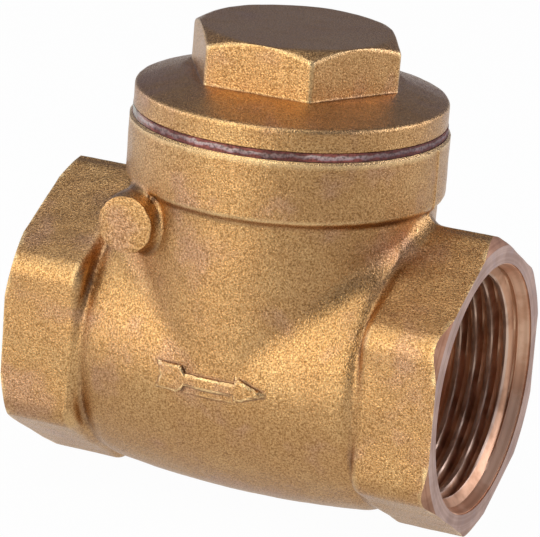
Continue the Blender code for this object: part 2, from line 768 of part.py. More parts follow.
def settle(piece):
    """Apply a piece's modifiers and shade it smooth, with its real edges kept sharp."""
    evaluated = piece.evaluated_get(bpy.context.evaluated_depsgraph_get())
    mesh = bpy.data.meshes.new_from_object(evaluated)
    piece.modifiers.clear()
    piece.data = mesh
    mesh.shade_smooth()
    mesh.set_sharp_from_angle(angle=CREASE_ANGLE)


clear_scene()
valve = new_collection("non_return_valve")
helpers = new_collection("cutters_and_guides")

cast_brass = principled("cast_brass", (0.42, 0.25, 0.10), 0.45, 0.9)
turned_brass = principled("turned_brass", (0.50, 0.33, 0.15), 0.25, 1.0)
fibre = principled("fibre_gasket", (0.16, 0.05, 0.06), 0.85, 0.0)
rubber = principled("nitrile_rubber", (0.02, 0.02, 0.02), 0.7, 0.0)
steel = principled("stainless_steel", (0.55, 0.55, 0.54), 0.3, 1.0)

cast_pieces = [body(), bonnet(), swing_arm()]
turned_pieces = [
    disc(),
    pin_plug(),
    stud_washer("seal_retainer", RETAINER_R, retainer_front_x, retainer_back_x),
    stud_nut("retainer_nut", retainer_nut_front_x, RETAINER_NUT_HEIGHT),
    stud_washer("disc_washer", stud_bore_r + STUD_WASHER_WALL, stud_washer_x,
                stud_washer_x + STUD_WASHER_THICKNESS),
    stud_nut("disc_nut", disc_nut_x, DISC_NUT_HEIGHT),
]
fibre_pieces = [bonnet_gasket(), plug_washer()]
rubber_pieces = [stud_washer("disc_seal", seal_r, seal_front_x, seal_back_x)]
steel_pieces = [hinge_pin(), split_pin()]

paint(cast_pieces, cast_brass)
paint(turned_pieces, turned_brass)
paint(fibre_pieces, fibre)
paint(rubber_pieces, rubber)
paint(steel_pieces, steel)
for piece in valve.objects:
    settle(piece)
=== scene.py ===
# Swing non-return valve in cast brass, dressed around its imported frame
import json
import math

import bmesh
import bpy
import numpy as np
from mathutils import Matrix, Vector

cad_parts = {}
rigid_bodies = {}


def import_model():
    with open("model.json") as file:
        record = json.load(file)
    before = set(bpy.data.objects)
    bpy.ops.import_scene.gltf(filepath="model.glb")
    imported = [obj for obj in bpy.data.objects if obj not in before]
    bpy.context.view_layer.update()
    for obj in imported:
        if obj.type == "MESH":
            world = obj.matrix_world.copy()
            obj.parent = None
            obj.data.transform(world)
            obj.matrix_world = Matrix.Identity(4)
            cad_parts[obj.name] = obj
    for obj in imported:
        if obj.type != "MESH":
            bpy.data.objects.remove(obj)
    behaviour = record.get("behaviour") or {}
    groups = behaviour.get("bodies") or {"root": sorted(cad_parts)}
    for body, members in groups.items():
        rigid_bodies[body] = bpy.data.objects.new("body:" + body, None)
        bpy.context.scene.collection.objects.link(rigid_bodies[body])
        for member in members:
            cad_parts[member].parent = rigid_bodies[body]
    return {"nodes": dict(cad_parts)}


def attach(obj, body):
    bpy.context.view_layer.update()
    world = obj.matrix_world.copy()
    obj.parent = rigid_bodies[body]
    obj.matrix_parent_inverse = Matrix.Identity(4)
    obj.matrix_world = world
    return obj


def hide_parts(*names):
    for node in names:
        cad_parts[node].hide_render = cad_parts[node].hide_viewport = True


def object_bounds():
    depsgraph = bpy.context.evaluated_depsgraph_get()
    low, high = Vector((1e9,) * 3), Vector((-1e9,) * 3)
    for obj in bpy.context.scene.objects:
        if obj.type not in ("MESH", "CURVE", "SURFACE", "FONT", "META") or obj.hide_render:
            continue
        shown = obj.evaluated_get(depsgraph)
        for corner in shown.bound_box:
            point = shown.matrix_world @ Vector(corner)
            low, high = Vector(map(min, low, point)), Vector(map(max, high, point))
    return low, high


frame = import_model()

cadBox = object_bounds()
mm = 0.001
fullTurn = 2 * math.pi
print("frame loaded:", len(frame["nodes"]), "nodes")


# Small helpers for meshes

def meshPiece(name, points, faces, body="root", slot=None, hides=()):
    # Points are in millimetres; doubles at seams and poles are merged, and faces look outwards
    mesh = bpy.data.meshes.new(name)
    mesh.from_pydata((np.asarray(points) * mm).tolist(), [], faces)
    tidyMesh(mesh)
    piece = bpy.data.objects.new(name, mesh)
    bpy.context.scene.collection.objects.link(piece)
    if slot:
        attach(piece, body)
    if hides:
        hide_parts(*hides)
    return piece


def tidyMesh(mesh, mergeMm=0.0004):
    # Points nearer than the merge distance become one, and thin leftovers go
    shape = bmesh.new()
    shape.from_mesh(mesh)
    bmesh.ops.remove_doubles(shape, verts=shape.verts, dist=mergeMm * mm)
    bmesh.ops.dissolve_degenerate(shape, edges=shape.edges, dist=mergeMm * mm)
    bmesh.ops.recalc_face_normals(shape, faces=shape.faces)
    shape.to_mesh(mesh)
    shape.free()


def dress(piece, finishes, creaseDegrees=32.0):
    # Materials in their order, and smooth shading that stops at edges sharper than the crease
    piece.data.materials.clear()
    for finish in finishes:
        piece.data.materials.append(finish)
    piece.data.shade_smooth()
    piece.data.set_sharp_from_angle(angle=math.radians(creaseDegrees))


def gridFaces(rows, columns, closedRows=False):
    # Quads between neighbouring rows; the columns always close on themselves
    row = np.arange(rows if closedRows else rows - 1)[:, None]
    column = np.arange(columns)[None, :]
    nextRow = (row + 1) % rows
    nextColumn = (column + 1) % columns
    corners = [row * columns + column, nextRow * columns + column,
               nextRow * columns + nextColumn, row * columns + nextColumn]
    return np.stack([np.broadcast_to(c, (len(row), columns)) for c in corners], -1).reshape(-1, 4).tolist()


def onAxis(across, along, turn, axis="x", centre=(0.0, 0.0, 0.0)):
    # A radius and a height become a point: radius times cosine and sine, and the height on the axis
    first, second = across * np.cos(turn), across * np.sin(turn)
    order = {"x": (along, first, second), "y": (second, along, first), "z": (first, second, along)}[axis]
    parts = [np.broadcast_to(part, np.broadcast(*order).shape) for part in order]
    return np.stack(parts, -1).reshape(-1, 3) + np.asarray(centre)


def turnsOf(steps):
    # Even angles round a full turn
    return np.linspace(0.0, fullTurn, steps, endpoint=False)


def turnedPoints(profile, steps, axis="x", centre=(0.0, 0.0, 0.0), limit=None):
    # A profile of (height, radius) rows carried round an axis; it may differ from angle to angle,
    # and limit caps the radius at each angle
    turn = turnsOf(steps)[None, :]
    profile = np.asarray(profile, float)
    rows = profile if profile.ndim == 3 else profile[:, None, :]
    along, across = rows[..., 0], rows[..., 1]
    if limit is not None:
        across = limit(across, turn)
    return onAxis(across, along, turn, axis, centre)


def turnedPiece(name, profile, steps, axis="x", centre=(0.0, 0.0, 0.0), limit=None, loop=False, **ties):
    # A turned surface as a piece; a looped profile closes on itself instead of at its two ends
    points = turnedPoints(profile, steps, axis, centre, limit)
    return meshPiece(name, points, gridFaces(len(profile), steps, loop), **ties)


def rod(start, end, radius):
    # Profile of a plain solid cylinder, from the middle of one end to the middle of the other
    return [(start, 0.0), (start, radius), (end, radius), (end, 0.0)]


def tube(start, end, bore, outside, corner):
    # Closed profile of a flat ring with eased corners
    return easedProfile([(start, bore), (start, outside), (end, outside), (end, bore)], corner, 4, True)


def ringRow(height, radius, turn):
    # One row of a profile whose height or radius differs from angle to angle
    return np.stack(np.broadcast_arrays(height, radius, turn)[:2], -1).astype(float)


def easedProfile(corners, radius, points=5, loop=False):
    # Each corner of the profile becomes a quadratic curve that starts one radius before it
    corners = np.asarray(corners, float)
    count = len(corners)
    radii = np.broadcast_to(radius, count)
    share = np.linspace(0.0, 1.0, points).reshape((-1,) + (1,) * (corners.ndim - 1))
    made = []
    for index, corner in enumerate(corners):
        if not loop and index in (0, count - 1):
            made.append(corner[None])
            continue
        ends = []
        for other in (corners[index - 1], corners[(index + 1) % count]):
            length = np.maximum(np.linalg.norm(other - corner, axis=-1, keepdims=True), 0.000001)
            ends.append(corner + (other - corner) / length * np.minimum(radii[index], length * 0.45))
        made.append((1 - share) ** 2 * ends[0] + 2 * share * (1 - share) * corner + share ** 2 * ends[1])
    return np.concatenate(made)


def denseProfile(rows, step):
    # Extra rows on straight lines between two rows, so that none are further apart than the step
    rows = np.asarray(rows, float)
    made = []
    for first, second in zip(rows[:-1], rows[1:]):
        length = np.linalg.norm(second - first, axis=-1).max()
        count = max(int(math.ceil(length / step)), 1)
        share = (np.arange(count) / count).reshape((-1,) + (1,) * (rows.ndim - 1))
        made.append(first + (second - first) * share)
    return np.concatenate(made + [rows[-1:]])


def cutThread(rows, steps, start, end, pitch, depth):
    # The radius falls by a rounded wave of the phase along a right-handed helix, and it fades in
    # and out over half a pitch
    turn = turnsOf(steps)[None, :]
    rows = rows if rows.ndim == 3 else rows[:, None, :]
    along = rows[..., 0]
    wave = 0.5 - 0.5 * np.cos(fullTurn * (along / pitch - turn / fullTurn))
    fade = np.clip((along - start) / (pitch / 2), 0, 1) * np.clip((end - along) / (pitch / 2), 0, 1)
    across = rows[..., 1] - depth * wave * fade
    return np.stack([np.broadcast_to(along, across.shape), across], -1)


def hexReach(turn, apothem, cornerR, firstCorner=0.0):
    # Distance from the middle to a hexagon's side at an angle, with its corners rounded to a circle
    off = (turn - firstCorner + math.pi / 6) % (math.pi / 3) - math.pi / 6
    flat = apothem / np.cos(math.pi / 6 - np.abs(off))
    centreReach = (apothem - cornerR) / math.cos(math.pi / 6)
    under = np.maximum(cornerR ** 2 - (centreReach * np.sin(off)) ** 2, 0.0)
    arcReach = centreReach * np.cos(off) + np.sqrt(under)
    onArc = np.abs(arcReach * np.sin(off)) <= cornerR * math.sin(math.pi / 6)
    return np.where(onArc, arcReach, flat)


def combine(target, tool, operation):
    # Both meshes are made triangles first, because their quads are not flat
    for piece in (target, tool):
        shape = bmesh.new()
        shape.from_mesh(piece.data)
        bmesh.ops.triangulate(shape, faces=shape.faces)
        shape.to_mesh(piece.data)
        shape.free()
    step = target.modifiers.new(operation.title(), "BOOLEAN")
    step.operation = operation
    step.object = tool
    step.solver = "MANIFOLD"
    bakeModifiers(target)
    bpy.data.objects.remove(tool, do_unlink=True)


def remeshPiece(piece, voxelMm):
    # One closed skin of even faces, each about a voxel wide
    remesh = piece.modifiers.new("Skin", "REMESH")
    remesh.mode = "VOXEL"
    remesh.voxel_size = voxelMm * mm
    bakeModifiers(piece)


def bakeModifiers(piece):
    # The mesh with its modifiers applied takes the place of the plain one
    evaluated = piece.evaluated_get(bpy.context.evaluated_depsgraph_get())
    mesh = bpy.data.meshes.new_from_object(evaluated)
    piece.modifiers.clear()
    piece.data = mesh


def meshArray(items, field, width, kind=float):
    # One field of a mesh's points, edges or faces, as rows of the given width
    flat = np.empty(len(items) * width, dtype=kind)
    items.foreach_get(field, flat)
    return flat.reshape(-1, width)


def pointsOf(mesh):
    return meshArray(mesh.vertices, "co", 3) / mm


def edgesOf(mesh):
    return meshArray(mesh.edges, "vertices", 2, np.int64)


def faceCentres(mesh):
    return meshArray(mesh.polygons, "center", 3) / mm


def setPoints(mesh, points):
    mesh.vertices.foreach_set("co", (points * mm).ravel())
    mesh.update()


def relaxed(points, mesh, share):
    # Each point goes part of the way to the mean of its neighbours, which evens out the mesh
    ends = edgesOf(mesh)
    total = np.zeros_like(points)
    for here, there in ((0, 1), (1, 0)):
        for k in range(3):
            total[:, k] += np.bincount(ends[:, here], points[ends[:, there], k], len(points))
    count = np.bincount(ends.ravel(), minlength=len(points))[:, None]
    return points + share * (total / np.maximum(count, 1) - points)


def unevenSkin(mesh, depth, shortMm, longMm, share=1.0, waves=14):
    # A cast skin is never true: a sum of plane waves in scattered directions sinks it by up to the
    # depth, times the share at each point
    scatter = np.random.default_rng(7)
    points = pointsOf(mesh)
    heading = scatter.normal(size=(waves, 3))
    heading /= np.linalg.norm(heading, axis=1, keepdims=True)
    length = np.exp(scatter.uniform(math.log(shortMm), math.log(longMm), waves))
    phase = scatter.uniform(0.0, fullTurn, waves)
    height = np.sin(points @ (heading / length[:, None]).T * fullTurn + phase) @ (length / length.sum())
    sink = depth * np.clip(0.5 + 1.2 * height, 0.0, 1.0) * share
    outward = meshArray(mesh.vertex_normals, "vector", 3)
    setPoints(mesh, points - outward * sink[:, None])


def addWearAndShade(mesh, rounds=2, calm=1.0):
    # How far a point stands proud of its neighbours' mean, over their spacing squared: edges above
    # zero, hollows below; calm is the share of the edge value that each point keeps. The cast brass uses it
    # to paint hollows darker as painted shade, and edges paler as wear with a painted highlight
    points, outward = pointsOf(mesh), meshArray(mesh.vertex_normals, "vector", 3)
    a, b = edgesOf(mesh).T
    both, other = np.concatenate([a, b]), np.concatenate([b, a])
    count = np.maximum(np.bincount(both, minlength=len(points)), 1)
    proud = ((points[both] - points[other]) * outward[both]).sum(-1)
    spacing = ((points[both] - points[other]) ** 2).sum(-1)
    bend = np.bincount(both, proud, len(points)) / np.maximum(np.bincount(both, spacing, len(points)), 1e-6)
    for _ in range(rounds):
        bend = 0.5 * bend + 0.5 * np.bincount(both, bend[other], len(points)) / count
    bend = np.where(bend > 0, bend * calm, bend)
    layer = mesh.attributes.new("wearAndShade", "FLOAT", "POINT")
    layer.data.foreach_set("value", np.clip(bend, -2.0, 2.0).astype(np.float32))


# Materials

def toLinear(hexText):
    # sRGB to linear: a straight foot, then the 2.4 power
    parts = [int(hexText[i:i + 2], 16) / 255 for i in (1, 3, 5)]
    return [c / 12.92 if c <= 0.04045 else ((c + 0.055) / 1.055) ** 2.4 for c in parts] + [1.0]


def feed(tree, node, inputs):
    # Each input takes a link, a colour written in hex, or a plain value
    for name, value in inputs.items():
        if isinstance(value, bpy.types.NodeSocket):
            tree.links.new(value, node.inputs[name])
        else:
            node.inputs[name].default_value = toLinear(value) if isinstance(value, str) else value


def addNode(tree, kind, inputs=None, output=0, stops=(), **settings):
    # A node with its settings, links and ramp stops; the output that is asked for comes back
    node = tree.nodes.new("ShaderNode" + kind)
    for name, value in settings.items():
        setattr(node, name, value)
    feed(tree, node, inputs or {})
    if stops:
        node.color_ramp.interpolation = "EASE"
        elements = node.color_ramp.elements
        while len(elements) < len(stops):
            elements.new(0.5)
        for element, (position, colour) in zip(elements, stops):
            element.position = position
            element.color = toLinear(colour) if isinstance(colour, str) else [colour] * 3 + [1.0]
    return node.outputs[output]


def spread(place, sizeMm, **others):
    # Inputs of a noise whose patches or grains are about sizeMm across
    return {"Vector": place, "Scale": 1.0 / (sizeMm * mm), **others}


def newMaterial(name):
    # An empty material with its shader, and the place on the object in metres
    made = bpy.data.materials.new(name)
    made.use_nodes = True
    tree = made.node_tree
    return made, tree, tree.nodes["Principled BSDF"], addNode(tree, "TexCoord", output="Object")


colourMix = {"output": 2, "data_type": "RGBA"}
multiply = {"blend_type": "MULTIPLY", **colourMix}
white = "#ffffff"

castLook = {
    "gold": "#d9ae78",
    "brown": "#d3a671",
    "pink": "#d0a47e",
    "patchMm": 8.0,
    "pit": "#9a845f",
    "midGrain": "#ddd6cc",
    "grainMm": 0.24,
    "grainShare": 0.8,
    # paler rounded edges: rubbed wear and a painted highlight
    "wearAndHighlight": "#f2cf98",
    "wearAndHighlightFrom": 0.12,
    "wearAndHighlightTo": 0.42,
    # darker hollows and creases: painted shade
    "paintedCreaseShade": "#80604a",
    "paintedCreaseShadeFrom": -0.1,
    "paintedCreaseShadeTo": -0.6,
    "wearAndShadeShare": 0.75,
    "fineMm": 0.13,
    "roughest": 0.37,
    "smoothest": 0.15,
    "bumpMm": 0.06,
}


def castBrass():
    # Shot-blasted cast brass: fine pits make it sparkle, the hue wanders between gold and pink, hollows are
    # painted darker as painted shade, and edges paler as rubbed wear with a painted highlight
    made, tree, shader, place = newMaterial("cast_brass_shot_blasted")
    look = castLook
    patches = addNode(tree, "TexNoise", spread(place, look["patchMm"], Detail=3.0, Roughness=0.55))
    hue = addNode(tree, "ValToRGB", {"Fac": patches},
                  stops=[(0.3, look["pink"]), (0.5, look["brown"]), (0.7, look["gold"])])
    grain = addNode(tree, "TexNoise", spread(place, look["grainMm"], Roughness=0.6))
    pits = addNode(tree, "ValToRGB", {"Fac": grain},
                   stops=[(0.34, look["pit"]), (0.5, look["midGrain"]), (0.62, white)])
    shade = addNode(tree, "Mix", {"Factor": look["grainShare"], 6: hue, 7: pits}, **multiply)
    wearAndShade = addNode(tree, "Attribute", output="Fac", attribute_name="wearAndShade")
    # darker in hollows: painted shade; paler on edges: rubbed wear and a painted highlight
    for kind in ("paintedCreaseShade", "wearAndHighlight"):
        share = addNode(tree, "MapRange", {"Value": wearAndShade, "From Min": look[kind + "From"],
                                           "From Max": look[kind + "To"], "To Max": look["wearAndShadeShare"]})
        shade = addNode(tree, "Mix", {"Factor": share, 6: shade, 7: look[kind]}, **colourMix)
    fine = addNode(tree, "TexNoise", spread(place, look["fineMm"], Detail=1.0))
    height = addNode(tree, "Math", {0: grain, 1: fine}, operation="ADD")
    bump = addNode(tree, "Bump", {"Height": height, "Distance": look["bumpMm"] * mm})
    gloss = addNode(tree, "MapRange", {"Value": fine, "From Min": 0.3, "From Max": 0.7,
                                       "To Min": look["smoothest"], "To Max": look["roughest"]})
    feed(tree, shader, {"Base Color": shade, "Normal": bump, "Roughness": gloss, "Metallic": 1.0})
    return made


def aboutPipe(tree, place):
    # The place along the pipe's axis, and the distance from it: the length of the two other coordinates
    x, y, z = [addNode(tree, "SeparateXYZ", {"Vector": place}, axis) for axis in "XYZ"]
    across = addNode(tree, "CombineXYZ", {"Y": y, "Z": z})
    return x, addNode(tree, "VectorMath", {0: across}, "Value", operation="LENGTH")


turnedLook = {
    "patchMm": 5.0,
    "stainMm": 1.6,
    "stainShare": 0.25,
    "streak": "#bfa594",
    "streakShare": 0.35,
    "bumpStrength": 0.12,
    "bumpMm": 0.02,
}


def turnedBrass(name, light, dark, roughness, markMm, lilac=None, facedEnd=False):
    # Brass fresh from the lathe: fine tool marks, which run round the pipe's axis where the ends were
    # faced, and a faint tarnish in patches
    made, tree, shader, place = newMaterial(name)
    look = turnedLook
    patches = addNode(tree, "TexNoise", spread(place, look["patchMm"], Detail=4.0, Roughness=0.6))
    hue = addNode(tree, "ValToRGB", {"Fac": patches}, stops=[(0.38, dark), (0.6, light)])
    if lilac:
        cloud = addNode(tree, "TexNoise", spread(place, look["stainMm"], Detail=3.0))
        stains = addNode(tree, "ValToRGB", {"Fac": cloud}, stops=[(0.5, 0.0), (0.75, look["stainShare"])])
        hue = addNode(tree, "Mix", {"Factor": stains, 6: hue, 7: lilac}, **colourMix)
    if facedEnd:
        along, radius = aboutPipe(tree, place)
        place = addNode(tree, "CombineXYZ", {"X": along, "Y": radius})
    marks = addNode(tree, "TexNoise", spread(place, markMm, Detail=1.0))
    if facedEnd:
        streaks = addNode(tree, "ValToRGB", {"Fac": marks}, stops=[(0.38, look["streak"]), (0.6, white)])
        hue = addNode(tree, "Mix", {"Factor": look["streakShare"], 6: hue, 7: streaks}, **multiply)
    bump = addNode(tree, "Bump", {"Height": marks, "Strength": look["bumpStrength"],
                                  "Distance": look["bumpMm"] * mm})
    feed(tree, shader, {"Base Color": hue, "Normal": bump, "Roughness": roughness, "Metallic": 1.0})
    return made


threadLook = {
    "crest": "#e2c6b0",
    "flank": "#dcb090",
    "root": "#dcb392",
    "crestR": 15.2,
    "rootR": 16.6,
    "oil": "#b9a79b",
    "oilMm": 3.0,
    "oilShare": 0.6,
    "roughness": 0.5,
}


def socketThread():
    # Tapped brass coloured by radius: paler crests as a painted highlight and browner grooves as painted
    # shade, under cloudy stains of dried cutting oil
    made, tree, shader, place = newMaterial("tapped_brass_thread")
    look = threadLook
    radius = aboutPipe(tree, place)[1]
    depth = addNode(tree, "MapRange", {"Value": radius, "From Min": look["crestR"] * mm,
                                       "From Max": look["rootR"] * mm})
    # painted highlight on the crests and painted shade in the grooves, from the distance to the axis
    hue = addNode(tree, "ValToRGB", {"Fac": depth},
                  stops=[(0.0, look["crest"]), (0.1, look["crest"]), (0.24, look["flank"]),
                         (0.8, look["flank"]), (0.96, look["root"])])
    cloud = addNode(tree, "TexNoise", spread(place, look["oilMm"], Detail=3.0))
    stains = addNode(tree, "ValToRGB", {"Fac": cloud}, stops=[(0.35, look["oil"]), (0.6, white)])
    shade = addNode(tree, "Mix", {"Factor": look["oilShare"], 6: hue, 7: stains}, **multiply)
    feed(tree, shader, {"Base Color": shade, "Roughness": look["roughness"], "Metallic": 1.0})
    return made


fibreLook = {
    "edge": "#9a5348",
    "mauve": "#b8989b",
    "pale": "#c9b4ae",
    "bottom": 31.9,
    "top": 32.9,
    "wander": 0.25,
    "wanderMm": 1.6,
    "fleck": "#5c4844",
    "fleckMm": 0.3,
    "fleckShare": 0.7,
    "soot": "#a08c8a",
    "sootMm": 7.0,
    "sootShare": 0.8,
    "paintedReflection": "#b4b5ac",
    "paintedReflectionShare": 0.85,
    "paintedReflectionStart": -12.0,
    "paintedReflectionEnd": -17.5,
    "roughness": 0.7,
    "bumpStrength": 0.5,
    "bumpMm": 0.05,
}


def pressedFibre():
    # Vulcanised fibre: the squeezed edges stay dark red, and the bare edge between them turns mauve and
    # grey; towards the inlet it is painted a patchy pale grey, a painted reflection
    made, tree, shader, place = newMaterial("vulcanised_fibre")
    look = fibreLook
    along, height = [addNode(tree, "SeparateXYZ", {"Vector": place}, axis) for axis in "XZ"]
    cloud = addNode(tree, "TexNoise", spread(place, look["wanderMm"], Detail=3.0))
    wander = addNode(tree, "MapRange", {"Value": cloud, "From Min": 0.3, "From Max": 0.7,
                                        "To Min": -look["wander"] * mm, "To Max": look["wander"] * mm})
    level = addNode(tree, "Math", {0: height, 1: wander}, operation="ADD")
    across = addNode(tree, "MapRange", {"Value": level, "From Min": look["bottom"] * mm,
                                        "From Max": look["top"] * mm})
    shade = addNode(tree, "ValToRGB", {"Fac": across},
                    stops=[(0.0, look["edge"]), (0.2, look["edge"]), (0.38, look["mauve"]),
                           (0.66, look["pale"]), (0.86, look["edge"]), (1.0, look["edge"])])
    fleck = addNode(tree, "TexNoise", spread(place, look["fleckMm"], Detail=3.0, Roughness=0.65))
    flecks = addNode(tree, "ValToRGB", {"Fac": fleck}, stops=[(0.38, look["fleck"]), (0.56, white)])
    shade = addNode(tree, "Mix", {"Factor": look["fleckShare"], 6: shade, 7: flecks}, **multiply)
    smoke = addNode(tree, "TexNoise", spread(place, look["sootMm"], Detail=3.0))
    soot = addNode(tree, "ValToRGB", {"Fac": smoke}, stops=[(0.4, look["soot"]), (0.56, white)])
    shade = addNode(tree, "Mix", {"Factor": look["sootShare"], 6: shade, 7: soot}, **multiply)
    # painted reflection: pale grey in patches on the inlet side
    inletSide = addNode(tree, "MapRange", {"Value": along, "From Min": look["paintedReflectionStart"] * mm,
                                           "From Max": look["paintedReflectionEnd"] * mm, "To Max": look["paintedReflectionShare"]})
    patchy = addNode(tree, "ValToRGB", {"Fac": cloud}, stops=[(0.38, 0.5), (0.6, 1.0)])
    reflectionAmount = addNode(tree, "Math", {0: inletSide, 1: patchy}, operation="MULTIPLY")
    shade = addNode(tree, "Mix", {"Factor": reflectionAmount, 6: shade, 7: look["paintedReflection"]}, **colourMix)
    bump = addNode(tree, "Bump", {"Height": fleck, "Strength": look["bumpStrength"],
                                  "Distance": look["bumpMm"] * mm})
    feed(tree, shader, {"Base Color": shade, "Normal": bump, "Roughness": look["roughness"]})
    return made


rubberLook = {
    "skin": "#17171a",
    "bloom": "#26262a",
    "bloomMm": 2.5,
    "grainMm": 0.18,
    "roughness": 0.55,
    "bumpStrength": 0.35,
    "bumpMm": 0.02,
}


def nitrileRubber():
    # Moulded nitrile: nearly black, with a dull skin and the faint bloom that handled rubber shows
    made, tree, shader, place = newMaterial("nitrile_rubber_moulded")
    look = rubberLook
    cloud = addNode(tree, "TexNoise", spread(place, look["bloomMm"], Detail=3.0))
    bloom = addNode(tree, "ValToRGB", {"Fac": cloud}, stops=[(0.4, look["skin"]), (0.7, look["bloom"])])
    grain = addNode(tree, "TexNoise", spread(place, look["grainMm"]))
    bump = addNode(tree, "Bump", {"Height": grain, "Strength": look["bumpStrength"],
                                  "Distance": look["bumpMm"] * mm})
    feed(tree, shader, {"Base Color": bloom, "Normal": bump, "Roughness": look["roughness"]})
    return made


steelLook = {
    "dark": "#a9aaa8",
    "light": "#cfcfcc",
    "patchMm": 1.2,
    "scratchMm": 0.12,
    "roughness": 0.3,
    "bumpStrength": 0.2,
    "bumpMm": 0.01,
}


def drawnSteel():
    # Stainless wire and rod as drawn: a cool grey with fine scratches and a soft gleam
    made, tree, shader, place = newMaterial("drawn_stainless_steel")
    look = steelLook
    cloud = addNode(tree, "TexNoise", spread(place, look["patchMm"], Detail=4.0, Roughness=0.7))
    shade = addNode(tree, "ValToRGB", {"Fac": cloud}, stops=[(0.35, look["dark"]), (0.65, look["light"])])
    scratch = addNode(tree, "TexNoise", spread(place, look["scratchMm"], Detail=3.0))
    bump = addNode(tree, "Bump", {"Height": scratch, "Strength": look["bumpStrength"],
                                  "Distance": look["bumpMm"] * mm})
    feed(tree, shader, {"Base Color": shade, "Normal": bump, "Roughness": look["roughness"],
                        "Metallic": 1.0})
    return made


brassCast = castBrass()
fibre = pressedFibre()
rubber = nitrileRubber()
steel = drawnSteel()
brassSmall = turnedBrass("turned_brass_small_parts", "#cfa25e", "#b0803f", 0.28, 0.2)
bodyFinishes = {
    "cast": brassCast,
    "face": turnedBrass("turned_brass_end_face", "#c6a698", "#b08e80", 0.36, 0.3, "#aa9ea9", True),
    "thread": socketThread(),
    # the lead-in and the relief past the thread: a rougher turned finish, with a paler colour that is a
    # painted highlight
    "mouth": turnedBrass("chamfered_brass_mouth", "#f0c9aa", "#dbab8a", 0.5, 0.35, facedEnd=True),
    # a darker copy of the turned brass for the corner chamfers: painted shade
    "corner": turnedBrass("turned_brass_corner", "#b88c72", "#9a7058", 0.42, 0.3, facedEnd=True),
}
print("materials made")


# Body casting

casting = {
    "inletEnd": -31.8,
    "outletEnd": 31.1,
    "barrelR": 20.4,
    "barrelFall": 0.0035,
    "shoulderDip": 0.5,
    "shoulderDipX": 20.2,
    "shoulderDipWidth": 1.2,
    "hexApothem": 18.8,
    "hexCornerR": 3.8,
    "inletShoulder": 20.6,
    "outletShoulder": 19.9,
    "shoulderRound": 1.5,
    "endFaceR": 19.6,
    "endChamfer": 27.0,
    "neckR": 20.63,
    "neckFoot": -2.0,
    "collarR": 21.61,
    "collarFoot": 23.1,
    "collarRound": 0.75,
    "collarTop": 31.8,
    "collarEdge": 0.35,
    "bossX": -14.2,
    "bossZ": 19.4,
    "bossR": 4.1,
    "bossRoot": 8.0,
    "frontBoss": 18.9,
    "frontBossDrop": 0.25,
    "frontBossShift": 0.2,
    "frontBossR": 3.9,
    "rearBoss": 18.0,
    "bossRound": 0.7,
    "neckFillet": 2.2,
    "bossFillet": 1.2,
    "collarFillet": 0.8,
    "shoulderFillet": 0.8,
    "partingRaise": 0.16,
    "partingWidth": 0.32,
    "partingFoot": -20.6,
    "partingFull": -18.0,
    "machiningSpare": 1.6,
    "unevenness": 0.07,
    "unevenMm": (1.6, 7.0),
    "voxel": 0.54,
}

flowArrow = {
    "tail": -7.8,
    "notch": -7.0,
    "tailEnd": -4.15,
    "headStart": 3.7,
    "tip": 7.95,
    "tailHalf": 1.85,
    "shaftHalf": 0.85,
    "headHalf": 1.75,
    "raise": 0.75,
    "edgeRound": 0.16,
    "foot": 0.22,
    "front": -10.0,
    "brightRim": 0.2,
    "topBrightShare": 0.2,
}


def roundJoin(first, second, radius):
    # Union of two distances with a round fillet where both are nearer than the radius
    nearA, nearB = np.maximum(radius - first, 0.0), np.maximum(radius - second, 0.0)
    return np.maximum(radius, np.minimum(first, second)) - np.hypot(nearA, nearB)


def roundMeet(first, second, radius):
    # Intersection of two distances with its outer edge rounded to the radius
    overA, overB = np.maximum(first + radius, 0.0), np.maximum(second + radius, 0.0)
    return np.minimum(-radius, np.maximum(first, second)) + np.hypot(overA, overB)


def hexDistance(across, up, apothem, cornerR):
    # Distance to a hexagon with corners up and down: fold it into one sector, then measure to the flat
    half = apothem - cornerR
    up, across = np.abs(up), np.abs(across)
    fold = 2 * np.minimum(-math.sqrt(3) / 2 * up + 0.5 * across, 0.0)
    up, across = up + fold * math.sqrt(3) / 2, across - fold * 0.5
    side = half / math.sqrt(3)
    up, across = up - np.clip(up, -side, side), across - half
    return np.hypot(up, across) * np.sign(across) - cornerR


def outlineDistance(u, v, corners):
    # Signed distance to a closed outline: nearest point on any side, and the crossing rule for inside
    best = np.full(u.shape, 1e9)
    inside = np.ones(u.shape)
    for (ax, ay), (bx, by) in zip(corners, corners[-1:] + corners[:-1]):
        ex, ey, wx, wy = bx - ax, by - ay, u - ax, v - ay
        share = np.clip((wx * ex + wy * ey) / (ex * ex + ey * ey), 0.0, 1.0)
        best = np.minimum(best, np.hypot(wx - ex * share, wy - ey * share))
        above, below, left = v >= ay, v < by, ex * wy > ey * wx
        flip = (above & below & left) | (~above & ~below & ~left)
        inside = np.where(flip, -inside, inside)
    return inside * best


def arrowDistance(x, y, z):
    # Distance to the arrow's outline on the barrel, measured along the pipe and as an arc round it
    a = flowArrow
    upper = [(a["tail"], a["tailHalf"]), (a["tailEnd"], a["tailHalf"]), (a["tailEnd"] + 0.7, a["shaftHalf"]),
             (a["headStart"], a["shaftHalf"]), (a["headStart"], a["headHalf"]), (a["tip"], 0.2)]
    lower = [(u, -v) for u, v in reversed(upper)]
    return outlineDistance(x, np.arctan2(z, -y) * casting["barrelR"], upper + lower + [(a["notch"], 0.0)])


